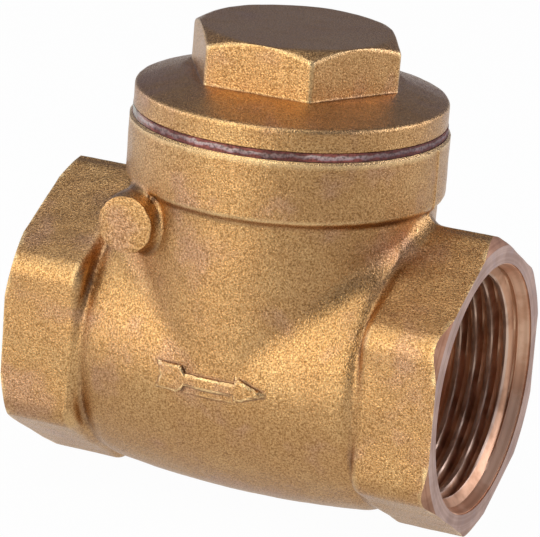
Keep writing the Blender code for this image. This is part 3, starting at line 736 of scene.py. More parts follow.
def castingDistance(p):
    # The casting is where this is below zero: barrel, hexagons, neck, collar, bosses and arrow in turn
    c, a = casting, flowArrow
    x, y, z = p[:, 0], p[:, 1], p[:, 2]
    pipeR, neckR = np.hypot(y, z), np.hypot(x, y)
    dip = np.exp(-((np.abs(x) - c["shoulderDipX"]) / c["shoulderDipWidth"]) ** 2)
    barrelR = c["barrelR"] - c["barrelFall"] * x * x - c["shoulderDip"] * dip
    made = pipeR - barrelR
    sides = hexDistance(y, z, c["hexApothem"], c["hexCornerR"])
    for start in (-x - c["inletShoulder"], x - c["outletShoulder"]):
        made = roundJoin(made, roundMeet(sides, -start, c["shoulderRound"]), c["shoulderFillet"])
    neck = np.maximum(neckR - c["neckR"], c["neckFoot"] - z)
    collar = roundMeet(neckR - c["collarR"], c["collarFoot"] - z, c["collarRound"])
    stack = roundJoin(neck, collar, c["collarFillet"])
    alike = np.clip(y * y / np.maximum(pipeR * neckR, 1.0), 0.0, 1.0)    # 1 where both surfaces run level
    made = roundJoin(made, stack, c["neckFillet"] * (1.0 - alike ** 2) + 0.02)
    centreZ = np.where(y < 0, c["bossZ"] - c["frontBossDrop"], c["bossZ"])
    centreX = np.where(y < 0, c["bossX"] + c["frontBossShift"], c["bossX"])
    stud = np.hypot(x - centreX, z - centreZ) - np.where(y < 0, c["frontBossR"], c["bossR"])
    for reach in (-y - c["frontBoss"], y - c["rearBoss"]):
        boss = np.maximum(roundMeet(stud, reach, c["bossRound"]), c["bossRoot"] - np.abs(y))
        made = roundJoin(made, boss, c["bossFillet"])
    arrow = roundMeet(arrowDistance(x, y, z), pipeR - barrelR - a["raise"], a["edgeRound"])
    made = roundJoin(made, np.maximum(arrow, y - a["front"]), a["foot"])
    fade = np.clip((z - c["partingFoot"]) / (c["partingFull"] - c["partingFoot"]), 0.0, 1.0)
    made = made - c["partingRaise"] * fade * np.exp(-(y / c["partingWidth"]) ** 2)
    spare = c["machiningSpare"]
    ends = np.maximum(x - c["outletEnd"] - spare, c["inletEnd"] - spare - x)
    return np.maximum(made, np.maximum(ends, z - c["collarTop"] - spare))


def settleOn(points, rounds=4, step=0.02):
    # Newton steps: move each point down the distance's slope by the distance itself
    for _ in range(rounds):
        value = castingDistance(points)
        slope = np.stack([castingDistance(points + shift) - castingDistance(points - shift)
                          for shift in np.eye(3) * step], -1) / (2 * step)
        steep = np.maximum((slope ** 2).sum(-1, keepdims=True), 0.25)
        points = points - np.clip(value, -0.8, 0.8)[:, None] * slope / steep
    return points


def settleMesh(mesh, rounds, share):
    # All points settle on the casting's surface, then even out and settle again a few times
    points = settleOn(pointsOf(mesh))
    for _ in range(rounds):
        points = settleOn(relaxed(points, mesh, share), 2)
    setPoints(mesh, points)


def roughCasting():
    # Plain overlapping solids that a voxel remesh fuses into one closed skin
    c = casting
    over = c["machiningSpare"]
    reach = np.linspace(-30.0, 30.0, 25)
    barrel = np.stack([reach, c["barrelR"] - c["barrelFall"] * reach ** 2], -1)
    barrel = np.concatenate([[[-30.0, 0.0]], barrel, [[30.0, 0.0]]])

    def sides(across, turn):
        return np.minimum(across, hexReach(turn, c["hexApothem"], c["hexCornerR"], math.pi / 2))

    hinge = {"axis": "y", "centre": (c["bossX"], 0.0, c["bossZ"])}
    solids = [
        (barrel, 96, {}),
        (rod(c["outletShoulder"], c["outletEnd"] + over, 30.0), 96, {"limit": sides}),
        (rod(c["inletEnd"] - over, -c["inletShoulder"], 30.0), 96, {"limit": sides}),
        (rod(c["neckFoot"], c["collarFoot"] + 1, c["neckR"]), 96, {"axis": "z"}),
        (rod(c["collarFoot"], c["collarTop"] + over, c["collarR"]), 96, {"axis": "z"}),
        (rod(-c["frontBoss"], -c["bossRoot"], c["bossR"]), 48, hinge),
        (rod(c["bossRoot"], c["rearBoss"], c["bossR"]), 48, hinge),
    ]
    points, faces, offset = [], [], 0
    for profile, steps, where in solids:
        points.append(turnedPoints(profile, steps, **where))
        faces += [[i + offset for i in quad] for quad in gridFaces(len(profile), steps)]
        offset += len(points[-1])
    return meshPiece("body_casting", np.concatenate(points), faces)


def refineRegion(mesh, chosen):
    # Cut each face of a chosen region in four, so that small forms get enough points
    shape = bmesh.new()
    shape.from_mesh(mesh)
    shape.faces.ensure_lookup_table()
    edges = {edge for index in np.flatnonzero(chosen) for edge in shape.faces[index].edges}
    bmesh.ops.subdivide_edges(shape, edges=list(edges), cuts=1, use_grid_fill=True)
    bmesh.ops.triangulate(shape, faces=[f for f in shape.faces if len(f.verts) > 4])
    shape.to_mesh(mesh)
    shape.free()


fineRegions = {
    "arrowHalf": (9.0, 2.8),
    "arrowMargin": 0.8,
    "bossReach": 5.8,
    "bossFrom": 12.0,
    "lipHalf": 1.2,
    "lipFrom": 19.0,
    "partingHalf": 0.75,
    "partingFrom": 15.0,
    "shoulderHalf": 1.7,
    "shoulderFrom": 16.0,
    "shoulderTo": 22.3,
}


def castSkin():
    # The remeshed skin settles on the exact form, with finer faces where the forms are small
    c, r = casting, fineRegions
    skin = roughCasting()
    remeshPiece(skin, c["voxel"])
    mesh = skin.data
    settleMesh(mesh, 3, 0.5)
    x, y, z = faceCentres(mesh).T
    pipeR, neckR = np.hypot(y, z), np.hypot(x, y)
    arrowNear = (np.abs(x) < r["arrowHalf"][0]) & (np.abs(z) < r["arrowHalf"][1]) & (y < 0)
    bossNear = (np.hypot(x - c["bossX"], z - c["bossZ"]) < r["bossReach"]) & (np.abs(y) > r["bossFrom"])
    lipNear = (np.abs(z - c["collarFoot"]) < r["lipHalf"]) & (neckR > r["lipFrom"])
    partingNear = (np.abs(y) < r["partingHalf"]) & (np.hypot(x, z) > r["partingFrom"]) & (z < c["collarTop"])
    shoulderNear = (np.abs(np.abs(x) - c["shoulderDipX"]) < r["shoulderHalf"])
    shoulderNear &= (pipeR > r["shoulderFrom"]) & (pipeR < r["shoulderTo"])
    refineRegion(mesh, arrowNear | bossNear | lipNear | partingNear | shoulderNear)
    settleMesh(mesh, 2, 0.35)
    x, y, z = faceCentres(mesh).T
    refineRegion(mesh, (arrowDistance(x, y, z) < r["arrowMargin"]) & (y < flowArrow["front"]))
    settleMesh(mesh, 3, 0.4)
    unevenSkin(mesh, c["unevenness"], *c["unevenMm"])
    tidyMesh(mesh)
    print("cast skin:", len(mesh.polygons), "faces")
    return skin


waterway = {
    "mouthR": 17.1,
    "mouthStep": 0.25,
    "mouthFlat": 0.12,
    "leadR": 16.45,
    "leadDepth": 1.75,
    "threadRootR": 16.62,
    "threadCrestR": 15.2,
    "threadPitch": 2.309,
    "threadPhase": 0.3,
    "threadEnd": 10.9,
    "threadFade": 0.5,
    "reliefR": 16.75,
    "socketDepth": 12.0,
    "outletPortR": 13.0,
    "chamberEnd": 16.5,
    "chamberR": 16.8,
    "seatWall": -13.5,
    "seatRingR": 13.2,
    "seat": -13.0,
    "seatBoreR": 11.6,
    "throatR": 13.6,
    "outletStep": 0.2,
    "inletStep": 0.35,
    "steps": 180,
}


def socketProfile(end, inward, step):
    # Rows of (height, radius, depth) from outside the mouth to the socket's floor: a short counterbore,
    # the lead-in cone, and then a steeper cone that the thread's crests stand on
    w = waterway
    outsideMm = 1.5
    mouthStep, coneStart = w["mouthStep"], w["mouthR"] - w["mouthFlat"]
    flare = (coneStart - w["leadR"]) / (w["leadDepth"] - mouthStep)
    depth = np.concatenate([[-outsideMm, 0.0, mouthStep - 0.01], np.linspace(mouthStep, w["leadDepth"], 6),
                            np.arange(w["leadDepth"] + step, w["threadEnd"] + 0.6, step),
                            np.linspace(w["threadEnd"] + 0.75, w["socketDepth"], 3)])
    cone = np.where(depth < w["leadDepth"], coneStart - flare * (depth - mouthStep),
                    w["leadR"] - (depth - w["leadDepth"]) * 1.1)
    cone = np.where(depth < mouthStep, w["mouthR"], cone)
    return np.stack([end + inward * depth, cone, depth], -1)


def threadedRadius(rows, turn):
    # Rounded thread: the root radius less a height times a crest shape of the phase along the helix
    w = waterway
    depth, cone = rows[:, 2][:, None], rows[:, 1][:, None]
    phase = depth / w["threadPitch"] - turn / fullTurn - w["threadPhase"]
    wave = 0.5 + 0.5 * np.cos(fullTurn * phase)
    crest = np.clip((wave - 0.12) / 0.76, 0.0, 1.0)
    crest = crest * crest * (3 - 2 * crest)
    runOut = np.clip((w["threadEnd"] - depth) / w["threadFade"], 0.0, 1.0)
    height = (w["threadRootR"] - w["threadCrestR"]) * crest * runOut
    root = np.where(depth > w["threadEnd"], w["reliefR"], w["threadRootR"])
    return np.where(depth <= w["leadDepth"], cone, np.maximum(root - height, cone))


def waterwayCutter():
    # Everything turned out about the pipe axis, as one closed surface from mouth to mouth
    c, w = casting, waterway
    turn = turnsOf(w["steps"])[None, :]
    outlet = socketProfile(c["outletEnd"], -1, w["outletStep"])
    inlet = socketProfile(c["inletEnd"], 1, w["inletStep"])
    outletFloor, inletFloor = outlet[-1, 0], inlet[-1, 0]
    plain = easedProfile([
        (outletFloor, w["outletPortR"]), (w["chamberEnd"], w["outletPortR"]),
        (w["chamberEnd"], w["chamberR"]), (w["seatWall"], w["chamberR"]),
        (w["seatWall"], w["seatRingR"]), (w["seat"], w["seatRingR"]), (w["seat"], w["seatBoreR"]),
        ((w["seat"] + inletFloor) / 2, w["seatBoreR"]), (inletFloor, w["throatR"])], 0.15, 3)
    pole = np.zeros((1, 1))
    points = np.concatenate([
        onAxis(pole, outlet[:1, 0][:, None], turn),
        onAxis(threadedRadius(outlet, turn), outlet[:, 0][:, None], turn),
        turnedPoints(plain, w["steps"]),
        onAxis(threadedRadius(inlet, turn)[::-1], inlet[::-1, 0][:, None], turn),
        onAxis(pole, inlet[:1, 0][:, None], turn),
    ])
    return meshPiece("waterway_cutter", points, gridFaces(len(points) // w["steps"], w["steps"]))


def endEnvelope():
    # The lathe's cuts outside: both end faces with their shallow chamfers, and the collar's top edge
    c = casting
    farR = 45.0
    drop = (farR - c["endFaceR"]) * math.tan(math.radians(c["endChamfer"]))
    ends = [(c["outletEnd"], 0.0), (c["outletEnd"], c["endFaceR"]), (c["outletEnd"] - drop, farR),
            (c["inletEnd"] + drop, farR), (c["inletEnd"], c["endFaceR"]), (c["inletEnd"], 0.0)]
    edge, top = c["collarEdge"], c["collarTop"]
    collar = [(-40.0, 0.0), (-40.0, 44.0), (top - 2.0, 44.0), (top - 2.0, c["collarR"] - edge + 2.0),
              (top, c["collarR"] - edge), (top, 0.0)]
    return turnedPiece("end_envelope", ends, 288), turnedPiece("top_envelope", collar, 192, axis="z")


neckSpace = {
    "threadR": 17.64,
    "threadFoot": 24.6,
    "cavityR": 18.09,
    "shelf": 14.65,
    "lowerR": 16.74,
    "lowerFoot": -2.0,
    "earR": 3.2,
    "earStart": 6.3,
    "earEnd": 14.5,
    "pinHoleR": 1.4,
    "plugHoleR": 2.6,
    "plugFloor": 13.3,
    "frontHoleEnd": 18.2,
}


def hollowOut(skin):
    # The neck's bore, the clapper's space, the two ears and the pin's holes, in the foundry's order
    c, n, w = casting, neckSpace, waterway
    combine(skin, waterwayCutter(), "DIFFERENCE")
    neck = [(c["collarTop"] + 2, 0.0), (c["collarTop"] + 2, n["threadR"]), (n["threadFoot"], n["threadR"]),
            (n["threadFoot"] - 0.45, n["cavityR"]), (n["shelf"], n["cavityR"]), (n["shelf"], 0.0)]
    combine(skin, turnedPiece("neck_cutter", neck, 128, axis="z"), "DIFFERENCE")

    def wall(across, turn):
        # The clapper's space ends at the flat wall that carries the seat
        flat = np.minimum(across, w["seatWall"] / np.minimum(np.cos(turn), -0.1))
        return np.where(np.cos(turn) < w["seatWall"] / n["lowerR"], flat, across)

    lower = rod(n["shelf"] + 0.3, n["lowerFoot"], n["lowerR"])
    combine(skin, turnedPiece("clapper_cutter", lower, 180, axis="z", limit=wall), "DIFFERENCE")
    hinge = {"axis": "y", "centre": (c["bossX"], 0.0, c["bossZ"])}
    for start, end in ((-n["earEnd"], -n["earStart"]), (n["earStart"], n["earEnd"])):
        combine(skin, turnedPiece("ear", rod(start, end, n["earR"]), 48, **hinge), "UNION")
    hole = [(-n["frontHoleEnd"], 0.0), (-n["frontHoleEnd"], n["pinHoleR"]), (n["plugFloor"], n["pinHoleR"]),
            (n["plugFloor"], n["plugHoleR"]), (c["rearBoss"] + 1.5, n["plugHoleR"]),
            (c["rearBoss"] + 1.5, 0.0)]
    combine(skin, turnedPiece("pin_cutter", hole, 40, **hinge), "DIFFERENCE")


def paintBody(mesh):
    # Faces on the lathe's planes and cones, and faces in the sockets, get the machined finishes; each
    # number is the finish's place in bodyFinishes
    c, w = casting, waterway
    number = {name: index for index, name in enumerate(bodyFinishes)}
    near = 0.02
    x, y, z = faceCentres(mesh).T
    facing = meshArray(mesh.polygons, "normal", 3)
    pipeR = np.hypot(y, z)
    drop = np.maximum(pipeR - c["endFaceR"], 0.0) * math.tan(math.radians(c["endChamfer"]))
    faceX = np.where(x > 0, c["outletEnd"] - drop, -c["inletEnd"] - drop)
    onEnd = (np.abs(np.abs(x) - faceX) < 0.03) & (np.abs(facing[:, 0]) > 0.8)
    depth = np.where(x > 0, c["outletEnd"] - x, x - c["inletEnd"])
    inSocket = (pipeR < w["mouthR"] + near) & (depth < w["socketDepth"] + 2.5)
    index = np.full(len(x), number["cast"], dtype=np.int32)
    index[inSocket] = number["thread"]
    # the relief past the thread and the lead-in take the paler mouth brass, whose paleness is a painted
    # highlight
    index[inSocket & (depth > w["threadEnd"] + 0.2)] = number["mouth"]
    # the corner chamfers outside the end face take the darker corner brass, a painted shade
    index[onEnd] = np.where(pipeR < c["endFaceR"] + near, number["face"], number["corner"])[onEnd]
    index[inSocket & (depth < w["leadDepth"] + near)] = number["mouth"]
    index[(np.abs(z - c["collarTop"]) < 0.05) & (facing[:, 2] > 0.9)] = number["face"]
    mesh.polygons.foreach_set("material_index", index)


def arrowCalm(points):
    # The arrow's flat top keeps little of the edge brightening, and only its outermost 0.3 mm is made bright:
    # rubbed wear with a painted highlight
    a = flowArrow
    x, y, z = points.T
    share = 2.0 + arrowDistance(x, y, z) / a["brightRim"]
    return np.where(y < a["front"], np.clip(share, a["topBrightShare"], 1.0), 1.0)


def bodyPiece():
    # The skin is faced on the lathe, cored, and painted with its finishes
    skin = castSkin()
    for envelope in endEnvelope():
        combine(skin, envelope, "INTERSECT")
    hollowOut(skin)
    tidyMesh(skin.data)
    # edges paler (wear and painted highlight) and hollows darker (painted shade) in the cast brass
    addWearAndShade(skin.data, calm=arrowCalm(pointsOf(skin.data)))
    dress(skin, bodyFinishes.values(), 25.0)
    paintBody(skin.data)
    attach(skin, "root")
    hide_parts("body")
    print("body:", sum(len(face.vertices) - 2 for face in skin.data.polygons), "triangles")


bodyPiece()


# Bonnet

bonnetForm = {
    "rimR": 21.15,
    "base": 33.0,
    "rimTop": 35.95,
    "coneR": 15.01,
    "headBase": 38.05,
    "headTop": 44.65,
    "headApothem": 13.0,
    "headCornerR": 0.75,
    "headTurn": 1.8,
    "chamferTopR": 12.75,
    "chamferAngle": 30.0,
    "headRound": 0.55,
    "footRound": 0.3,
    "rimRound": 0.5,
    "skirtR": 17.34,
    "skirtFoot": 25.6,
    "skirtChamfer": 0.4,
    "skirtPitch": 1.5,
    "skirtThread": 0.8,
    "skirtBoreR": 14.74,
    "ceiling": 34.475,
    "pocketR": 9.0,
    "pocketFoot": 37.425,
    "pocketTop": 40.65,
    "unevenness": 0.06,
    "unevenMm": (1.8, 7.0),
    "steps": 420,
}


def bonnetPiece():
    # One closed profile for each angle, from the head's top round the rim and skirt to the pocket's roof
    b = bonnetForm
    turn = turnsOf(b["steps"])
    reach = hexReach(turn, b["headApothem"], b["headCornerR"], math.radians(b["headTurn"]))
    fall = np.maximum(reach - b["chamferTopR"], 0.0) * math.tan(math.radians(b["chamferAngle"]))
    rows = [(b["headTop"], 0.0), (b["headTop"], np.minimum(b["chamferTopR"], reach)),
            (b["headTop"] - fall, reach), (b["headBase"], reach),
            (b["headBase"], np.maximum(reach, b["coneR"])), (b["rimTop"], b["rimR"]),
            (b["base"], b["rimR"]), (b["base"], b["skirtR"])]
    rounds = [0.0, b["headRound"], b["headRound"], b["footRound"], b["footRound"], b["rimRound"], 0.2, 0.0]
    outer = denseProfile(easedProfile([ringRow(*row, turn) for row in rows], rounds, 6), 0.4)
    foot, skirtR = b["skirtFoot"], b["skirtR"]
    skirt = denseProfile([(b["base"] - 0.1, skirtR), (foot + b["skirtChamfer"], skirtR),
                          (foot, skirtR - b["skirtChamfer"])], 0.15)
    skirt = cutThread(skirt, b["steps"], foot - 0.5, b["base"] - 1.2, b["skirtPitch"], b["skirtThread"])
    inner = easedProfile([(foot, skirtR - 0.5), (foot, b["skirtBoreR"]), (b["ceiling"], b["skirtBoreR"]),
                          (b["pocketFoot"], b["pocketR"]), (b["pocketTop"], b["pocketR"]),
                          (b["pocketTop"], 0.0)], 0.5, 4)
    inner = np.broadcast_to(inner[:, None, :], (len(inner), b["steps"], 2))
    piece = turnedPiece("bonnet_cap", np.concatenate([outer, skirt, inner]), b["steps"], axis="z",
                        slot="cast_brass", hides=["bonnet"])
    castShare = np.clip((pointsOf(piece.data)[:, 2] - b["base"] - 0.1) / 0.4, 0.0, 1.0)
    unevenSkin(piece.data, b["unevenness"], *b["unevenMm"], castShare)
    # edges paler (wear and painted highlight) and hollows darker (painted shade) in the cast brass
    addWearAndShade(piece.data, 1)
    dress(piece, [brassCast, brassSmall], 38.0)
    x, y, z = faceCentres(piece.data).T
    radius = np.hypot(x, y)
    turned = z < b["base"] + 0.02
    turned |= (radius < b["skirtBoreR"] + 0.05) & (z < b["pocketFoot"] + 0.1)
    turned |= (radius < b["pocketR"] + 0.05) & (z < b["pocketTop"] + 0.1)
    piece.data.polygons.foreach_set("material_index", turned.astype(np.int32))
    print("bonnet:", len(piece.data.polygons), "faces")


gasketForm = {
    "boreR": 17.74,
    "outerR": 21.2,
    "bottom": 31.8,
    "top": 33.0,
    "corner": 0.05,
    "unevenness": 0.08,
    "unevenMm": (1.0, 9.0),
    "unevenFrom": 20.0,
}


def gasketPiece():
    # A flat ring whose squeezed outer edge wanders in and out a little
    g = gasketForm
    corners = [(g["bottom"], g["boreR"]), (g["bottom"], g["outerR"]),
               ((g["bottom"] + g["top"]) / 2, g["outerR"]), (g["top"], g["outerR"]), (g["top"], g["boreR"])]
    profile = denseProfile(easedProfile(corners, g["corner"], 4, loop=True), 0.25)
    piece = turnedPiece("gasket_ring", profile, 360, axis="z", loop=True, slot="fibre",
                        hides=["bonnet_gasket"])
    x, y, z = pointsOf(piece.data).T
    edgeShare = np.clip((np.hypot(x, y) - g["unevenFrom"]) / 0.8, 0.0, 1.0)
    unevenSkin(piece.data, g["unevenness"], *g["unevenMm"], edgeShare)
    dress(piece, [fibre], 60.0)


bonnetPiece()
gasketPiece()
print("bonnet and gasket made")


# Hinge pin with its plug and washer, all along Y through the bosses

hinge = {
    "x": -14.2,
    "z": 19.4,
    "pinR": 1.25,
    "pinFront": -18.1,
    "pinRear": 12.8,
    "plugR": 2.45,
    "plugTip": 13.42,
    "washerFoot": 18.12,
    "washerTop": 18.9,
    "washerBoreR": 2.6,
    "washerR": 3.8,
    "headFoot": 19.02,
    "headTop": 21.81,
    "headApothem": 3.5,
    "headCornerR": 0.15,
    "threadPitch": 0.8,
    "threadDepth": 0.4,
    "steps": 144,
}


def hexRows(turn, apothem, cornerR, bottom, top, lowChamfer=False):
    # Hexagon side with its corners turned off: the end's height falls where the corner stands proud
    reach = hexReach(turn, apothem, cornerR)
    flatR = apothem * 0.99
    fall = (reach - flatR) * math.tan(math.radians(30.0))
    rise = fall if lowChamfer else 0.0
    footR = flatR if lowChamfer else reach - 0.1
    rows = [(top, flatR), (top - fall, reach), (bottom + rise, reach), (bottom, footR)]
    return [ringRow(*row, turn) for row in rows]


def hingePieces():
    # A plain pin, a flat washer, and a plug whose profile runs from the head's top to the thread's tip
    h, turn = hinge, turnsOf(hinge["steps"])
    where = {"axis": "y", "centre": (h["x"], 0.0, h["z"])}
    pin = easedProfile(rod(h["pinFront"], h["pinRear"], h["pinR"]), 0.25)
    dress(turnedPiece("hinge_rod", pin, 48, slot="steel", hides=["hinge_pin"], **where), [steel])
    washer = tube(h["washerFoot"], h["washerTop"], h["washerBoreR"], h["washerR"], 0.12)
    dress(turnedPiece("plug_seal_washer", washer, 96, loop=True, slot="fibre", hides=["plug_washer"],
                      **where), [fibre])
    sides = hexRows(turn, h["headApothem"], h["headCornerR"], h["headFoot"], h["headTop"])
    rows = [ringRow(h["headTop"], 0.0, turn)] + sides + [ringRow(h["headFoot"], h["plugR"], turn)]
    head = easedProfile(rows, [0.0, 0.15, 0.15, 0.1, 0.1, 0.0], 4)
    shank = denseProfile([(h["headFoot"] - 0.05, h["plugR"]), (h["plugTip"] + 0.3, h["plugR"]),
                          (h["plugTip"], h["plugR"] - 0.4)], 0.1)
    shank = cutThread(shank, h["steps"], h["plugTip"] - 0.3, h["headFoot"] - 0.6, h["threadPitch"],
                      h["threadDepth"])
    rows = np.concatenate([head, shank, ringRow(h["plugTip"], 0.0, turn)[None]])
    dress(turnedPiece("hex_screw_plug", rows, h["steps"], slot="turned_brass", hides=["pin_plug"], **where),
          [brassSmall])


# Clapper, stacked along the stud: retainer nut, retainer, seal, disc, arm, washer, nut and split pin

clapper = {
    "studR": 2.0,
    "studFront": -16.7,
    "studBack": 0.52,
    "studChamfer": 0.35,
    "threadPitch": 0.7,
    "threadDepth": 0.3,
    "cupR": 13.6,
    "discR": 14.4,
    "cupFloor": -10.7,
    "rimFront": -12.0,
    "backFace": -8.3,
    "backTaper": 0.9,
    "backFlatR": 4.98,
    "discSteps": 200,
    "boreR": 2.15,
    "seal": (-12.7, -10.8, 13.5),        # front, back and radius
    "retainer": (-13.8, -12.8, 8.0),
    "washer": (-5.1, -4.3, 4.25),
    "ringSteps": 160,
    "frontNut": (-16.1, -13.9),
    "rearNut": (-4.2, -1.6),
    "nutApothem": 3.5,
    "nutCornerR": 0.1,
    "nutSteps": 144,
    "splitX": -0.79,
    "splitHoleR": 0.7,
    "wireR": 0.25,
    "wireGap": 0.06,
    "wireSides": 16,
    "eyeR": 0.9,
    "legLength": 1.3,
}


def ringPiece(name, form, finish, slot, hides, corner=0.2):
    # A flat ring on the stud
    front, back, outside = form
    profile = tube(front, back, clapper["boreR"], outside, corner)
    piece = turnedPiece(name, profile, clapper["ringSteps"], loop=True, body="disc_set", slot=slot,
                        hides=hides)
    dress(piece, [finish])


def studNut(name, ends, hides):
    # A hexagon nut with both ends' corners turned off, and a thread that stands inwards from its bore
    c, steps = clapper, clapper["nutSteps"]
    sides = hexRows(turnsOf(steps), c["nutApothem"], c["nutCornerR"], *ends, lowChamfer=True)
    lead, low, high = 0.2, *ends
    bore = denseProfile([(low, c["boreR"] + lead), (low + lead, c["boreR"]), (high - lead, c["boreR"]),
                         (high, c["boreR"] + lead)], 0.1)
    bore = cutThread(bore, steps, low, high, c["threadPitch"], -c["threadDepth"])
    rows = np.concatenate([easedProfile(sides, [0.1, 0.12, 0.12, 0.1], 4), bore])
    piece = turnedPiece(name, rows, steps, loop=True, body="disc_set", slot="turned_brass", hides=hides)
    dress(piece, [brassSmall])


def discPiece():
    # Turned cup with a threaded stud on each face, and the split pin's hole across the rear one
    c, steps = clapper, clapper["discSteps"]
    studR, edge = c["studR"], c["studChamfer"]
    corners = [(c["studBack"], 0.0), (c["studBack"], studR - edge), (c["studBack"] - edge, studR),
               (c["backFace"], studR), (c["backFace"], c["backFlatR"]),
               (c["backFace"] - c["backTaper"], c["discR"]), (c["rimFront"], c["discR"]),
               (c["rimFront"], c["cupR"]), (c["cupFloor"], c["cupR"]), (c["cupFloor"], studR),
               (c["studFront"] + edge, studR), (c["studFront"], studR - edge), (c["studFront"], 0.0)]
    rows = denseProfile(easedProfile(corners, 0.18, 4), 0.12)[:, None, :]
    rear = (c["rearNut"][0] - 0.6, c["studBack"] + 0.2)
    front = (c["studFront"] - 0.2, c["retainer"][1])
    for ends in (rear, front):
        onStud = (rows[..., 1] > studR - 0.5) & (rows[..., 1] < studR + 0.01)
        threaded = cutThread(rows, steps, *ends, c["threadPitch"], c["threadDepth"])
        rows = np.where(onStud[..., None], threaded, rows)
    disc = turnedPiece("clapper_disc", rows, steps, body="disc_set", slot="turned_brass", hides=["disc"])
    hole = rod(-studR - 1.0, studR + 1.0, c["splitHoleR"])
    combine(disc, turnedPiece("split_hole", hole, 32, axis="z", centre=(c["splitX"], 0.0, 0.0)), "DIFFERENCE")
    dress(disc, [brassSmall])


def splitPinPiece():
    # Doubled wire: its route is cut at the corners until it is smooth, and a circle is carried along it
    c = clapper
    offset, beside = c["wireR"] + c["wireGap"] / 2, c["studR"] + 0.15 + c["wireR"]
    half = [(offset + c["legLength"], -beside), (offset + 2 * c["wireR"], -beside), (offset, -c["studR"]),
            (offset, c["studR"])]
    gap = math.asin(offset / c["eyeR"])
    around = np.linspace(gap - math.pi / 2, 1.5 * math.pi - gap, 24)
    eye = np.stack([c["eyeR"] * np.cos(around), beside + c["eyeR"] + c["eyeR"] * np.sin(around)], -1)
    route = np.concatenate([half, eye, [(-u, v) for u, v in reversed(half)]])
    for _ in range(3):
        first, second = route[:-1], route[1:]
        cuts = np.stack([first * 0.75 + second * 0.25, first * 0.25 + second * 0.75], 1).reshape(-1, 2)
        route = np.concatenate([route[:1], cuts, route[-1:]])
    heading = np.gradient(route, axis=0)
    heading /= np.maximum(np.linalg.norm(heading, axis=1, keepdims=True), 1e-9)
    turn = turnsOf(c["wireSides"])[None, :]
    radius = np.full((len(route), 1), c["wireR"])
    radius[[0, -1]] = 0.0
    across = radius * np.cos(turn)
    points = np.stack([c["splitX"] + radius * np.sin(turn), route[:, :1] - across * heading[:, 1:],
                       route[:, 1:] + across * heading[:, :1]], -1).reshape(-1, 3)
    piece = meshPiece("split_pin_wire", points, gridFaces(len(route), c["wireSides"]), "disc_set", "steel",
                      ["split_pin"])
    dress(piece, [steel], 50.0)


armForm = {
    "mergeMm": 0.002,
    "voxel": 0.22,
    "rounding": 6,
    "unevenness": 0.05,
    "unevenMm": (1.0, 4.0),
}


def armPiece():
    # The arm's solid, remeshed fine and eased towards its neighbours' mean, as a casting's edges are
    a = armForm
    mesh = frame["nodes"]["swing_arm"].data.copy()
    tidyMesh(mesh, a["mergeMm"])
    arm = bpy.data.objects.new("cast_swing_arm", mesh)
    bpy.context.scene.collection.objects.link(arm)
    remeshPiece(arm, a["voxel"])
    points = pointsOf(arm.data)
    for _ in range(a["rounding"]):
        points = relaxed(points, arm.data, 0.5)
    setPoints(arm.data, points)
    unevenSkin(arm.data, a["unevenness"], *a["unevenMm"])
    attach(arm, "clapper")
    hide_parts("swing_arm")
    dress(arm, [brassCast], 60.0)
    print("arm:", len(arm.data.polygons), "faces")


hingePieces()
ringPiece("seal_ring", clapper["seal"], rubber, "rubber", ["disc_seal"], 0.3)
ringPiece("retainer_plate", clapper["retainer"], brassSmall, "turned_brass", ["seal_retainer"])
ringPiece("stud_washer", clapper["washer"], brassSmall, "turned_brass", ["disc_washer"], 0.15)
studNut("front_hex_nut", clapper["frontNut"], ["retainer_nut"])
studNut("rear_hex_nut", clapper["rearNut"], ["disc_nut"])
discPiece()
splitPinPiece()
armPiece()
print("hinge and clapper made")


# Camera, light and floor

view = {
    "target": (-1.319, 0.0, 10.613),
    "azimuth": 23.242,
    "elevation": 17.043,
    "roll": 4.359,
    "distance": 494.76,
    "focalPixels": 3641.6,
    "pictureWidth": 540.0,
}


def addCamera():
    # The camera looks back along its own direction, turned a little about its line of sight
    azimuth, elevation, roll = [math.radians(view[name]) for name in ("azimuth", "elevation", "roll")]
    back = Vector((math.sin(azimuth) * math.cos(elevation), -math.cos(azimuth) * math.cos(elevation),
                   math.sin(elevation)))
    right = Vector((math.cos(azimuth), math.sin(azimuth), 0.0))
    up = back.cross(right)
    across = right * math.cos(roll) + up * math.sin(roll)
    upright = up * math.cos(roll) - right * math.sin(roll)
    lens = bpy.data.cameras.new("camera")
    lens.sensor_width = 36.0
    lens.sensor_fit = "HORIZONTAL"
    lens.lens = view["focalPixels"] / view["pictureWidth"] * lens.sensor_width
    lens.clip_end = 10.0
    camera = bpy.data.objects.new("camera", lens)
    place = (Vector(view["target"]) + back * view["distance"]) * mm
    camera.matrix_world = Matrix.Translation(place) @ Matrix((across, upright, back)).transposed().to_4x4()
    bpy.context.scene.collection.objects.link(camera)
    bpy.context.scene.camera = camera


# Each lamp: angle round from the front, height angle, watts and tint
lamps = {
    "left": (-80.0, 8.0, 1.8, (0.8, 0.82, 1.0)),
    "front_low": (-20.0, 8.0, 2.5, (1.0, 0.98, 0.88)),
    "front_high": (-20.0, 38.0, 1.1, (1.0, 1.0, 0.8)),
    "overhead_left": (-35.0, 66.0, 1.6, (0.97, 1.0, 1.0)),
    "back_right": (118.0, 25.0, 2.6, (0.9, 0.91, 1.0)),
}
lampDistance = 0.75
lampSize = 0.45


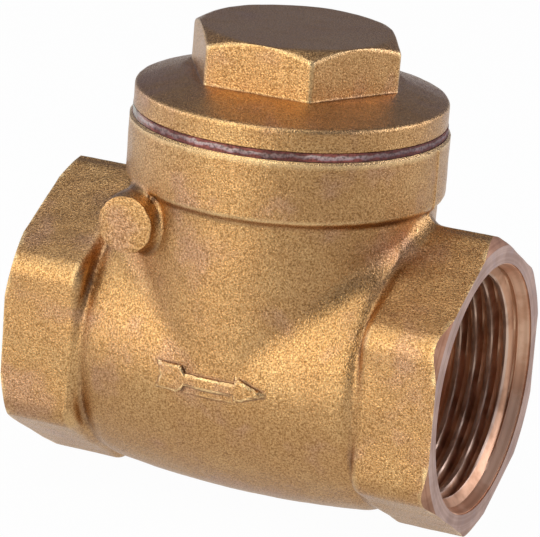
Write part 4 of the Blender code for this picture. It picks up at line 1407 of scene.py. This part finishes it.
def addLamps():
    # Soft square lamps on a sphere round the valve, which face its middle
    for name, (side, rise, power, tint) in lamps.items():
        side, rise = math.radians(side), math.radians(rise)
        place = Vector((math.sin(side) * math.cos(rise), -math.cos(side) * math.cos(rise), math.sin(rise)))
        light = bpy.data.lights.new(name, "AREA")
        light.size = lampSize
        light.energy = power
        light.color = tint
        lamp = bpy.data.objects.new(name, light)
        lamp.location = place * lampDistance
        lamp.rotation_euler = (-place).to_track_quat("-Z", "Y").to_euler()
        bpy.context.scene.collection.objects.link(lamp)


studio = {
    "skyColour": (0.82, 0.83, 1.0, 1.0),
    "skyStrength": 0.29,
    "floorColour": "#d8d8d8",
    "floorRoughness": 0.9,
    "eyeShare": 0.975,
    "mirrorShare": 0.6,
    "floorGap": 0.05,
    "floorReach": 3000.0,
}


def addWorld():
    # A cool even light from all round
    world = bpy.data.worlds.new("studio")
    world.use_nodes = True
    bpy.context.scene.world = world
    feed(world.node_tree, world.node_tree.nodes["Background"],
         {"Color": studio["skyColour"], "Strength": studio["skyStrength"]})


def addFloor():
    # A pale sheet under the valve, seen by the eye as nearly white with the shadow kept
    s = studio
    made, tree, shader, place = newMaterial("pale_floor")
    feed(tree, shader, {"Base Color": s["floorColour"], "Roughness": s["floorRoughness"]})
    direct, mirrored, through = [addNode(tree, "LightPath", output="Is " + kind + " Ray")
                                 for kind in ("Camera", "Glossy", "Transmission")]
    direct = addNode(tree, "Math", {0: direct, 1: s["eyeShare"]}, operation="MULTIPLY")
    mirrored = addNode(tree, "Math", {0: mirrored, 1: s["mirrorShare"]}, operation="MULTIPLY")
    seen = addNode(tree, "Math", {0: direct, 1: mirrored}, operation="MAXIMUM")
    seen = addNode(tree, "Math", {0: seen, 1: through}, operation="MAXIMUM")
    shine = addNode(tree, "Emission", {"Strength": 1.0})
    blend = addNode(tree, "MixShader", {"Fac": seen, 1: shader.outputs[0], 2: shine})
    feed(tree, tree.nodes["Material Output"], {"Surface": blend})
    low, reach = cadBox[0][2] / mm - s["floorGap"], s["floorReach"]
    corners = [(-reach, -reach, low), (reach, -reach, low), (reach, reach, low), (-reach, reach, low)]
    mesh = bpy.data.meshes.new("floor")
    mesh.from_pydata([[v * mm for v in corner] for corner in corners], [], [(0, 1, 2, 3)])
    floor = bpy.data.objects.new("floor", mesh)
    mesh.materials.append(made)
    bpy.context.scene.collection.objects.link(floor)


addCamera()
addLamps()
addWorld()
addFloor()
bpy.context.scene.view_settings.view_transform = "Standard"
print("stage set")
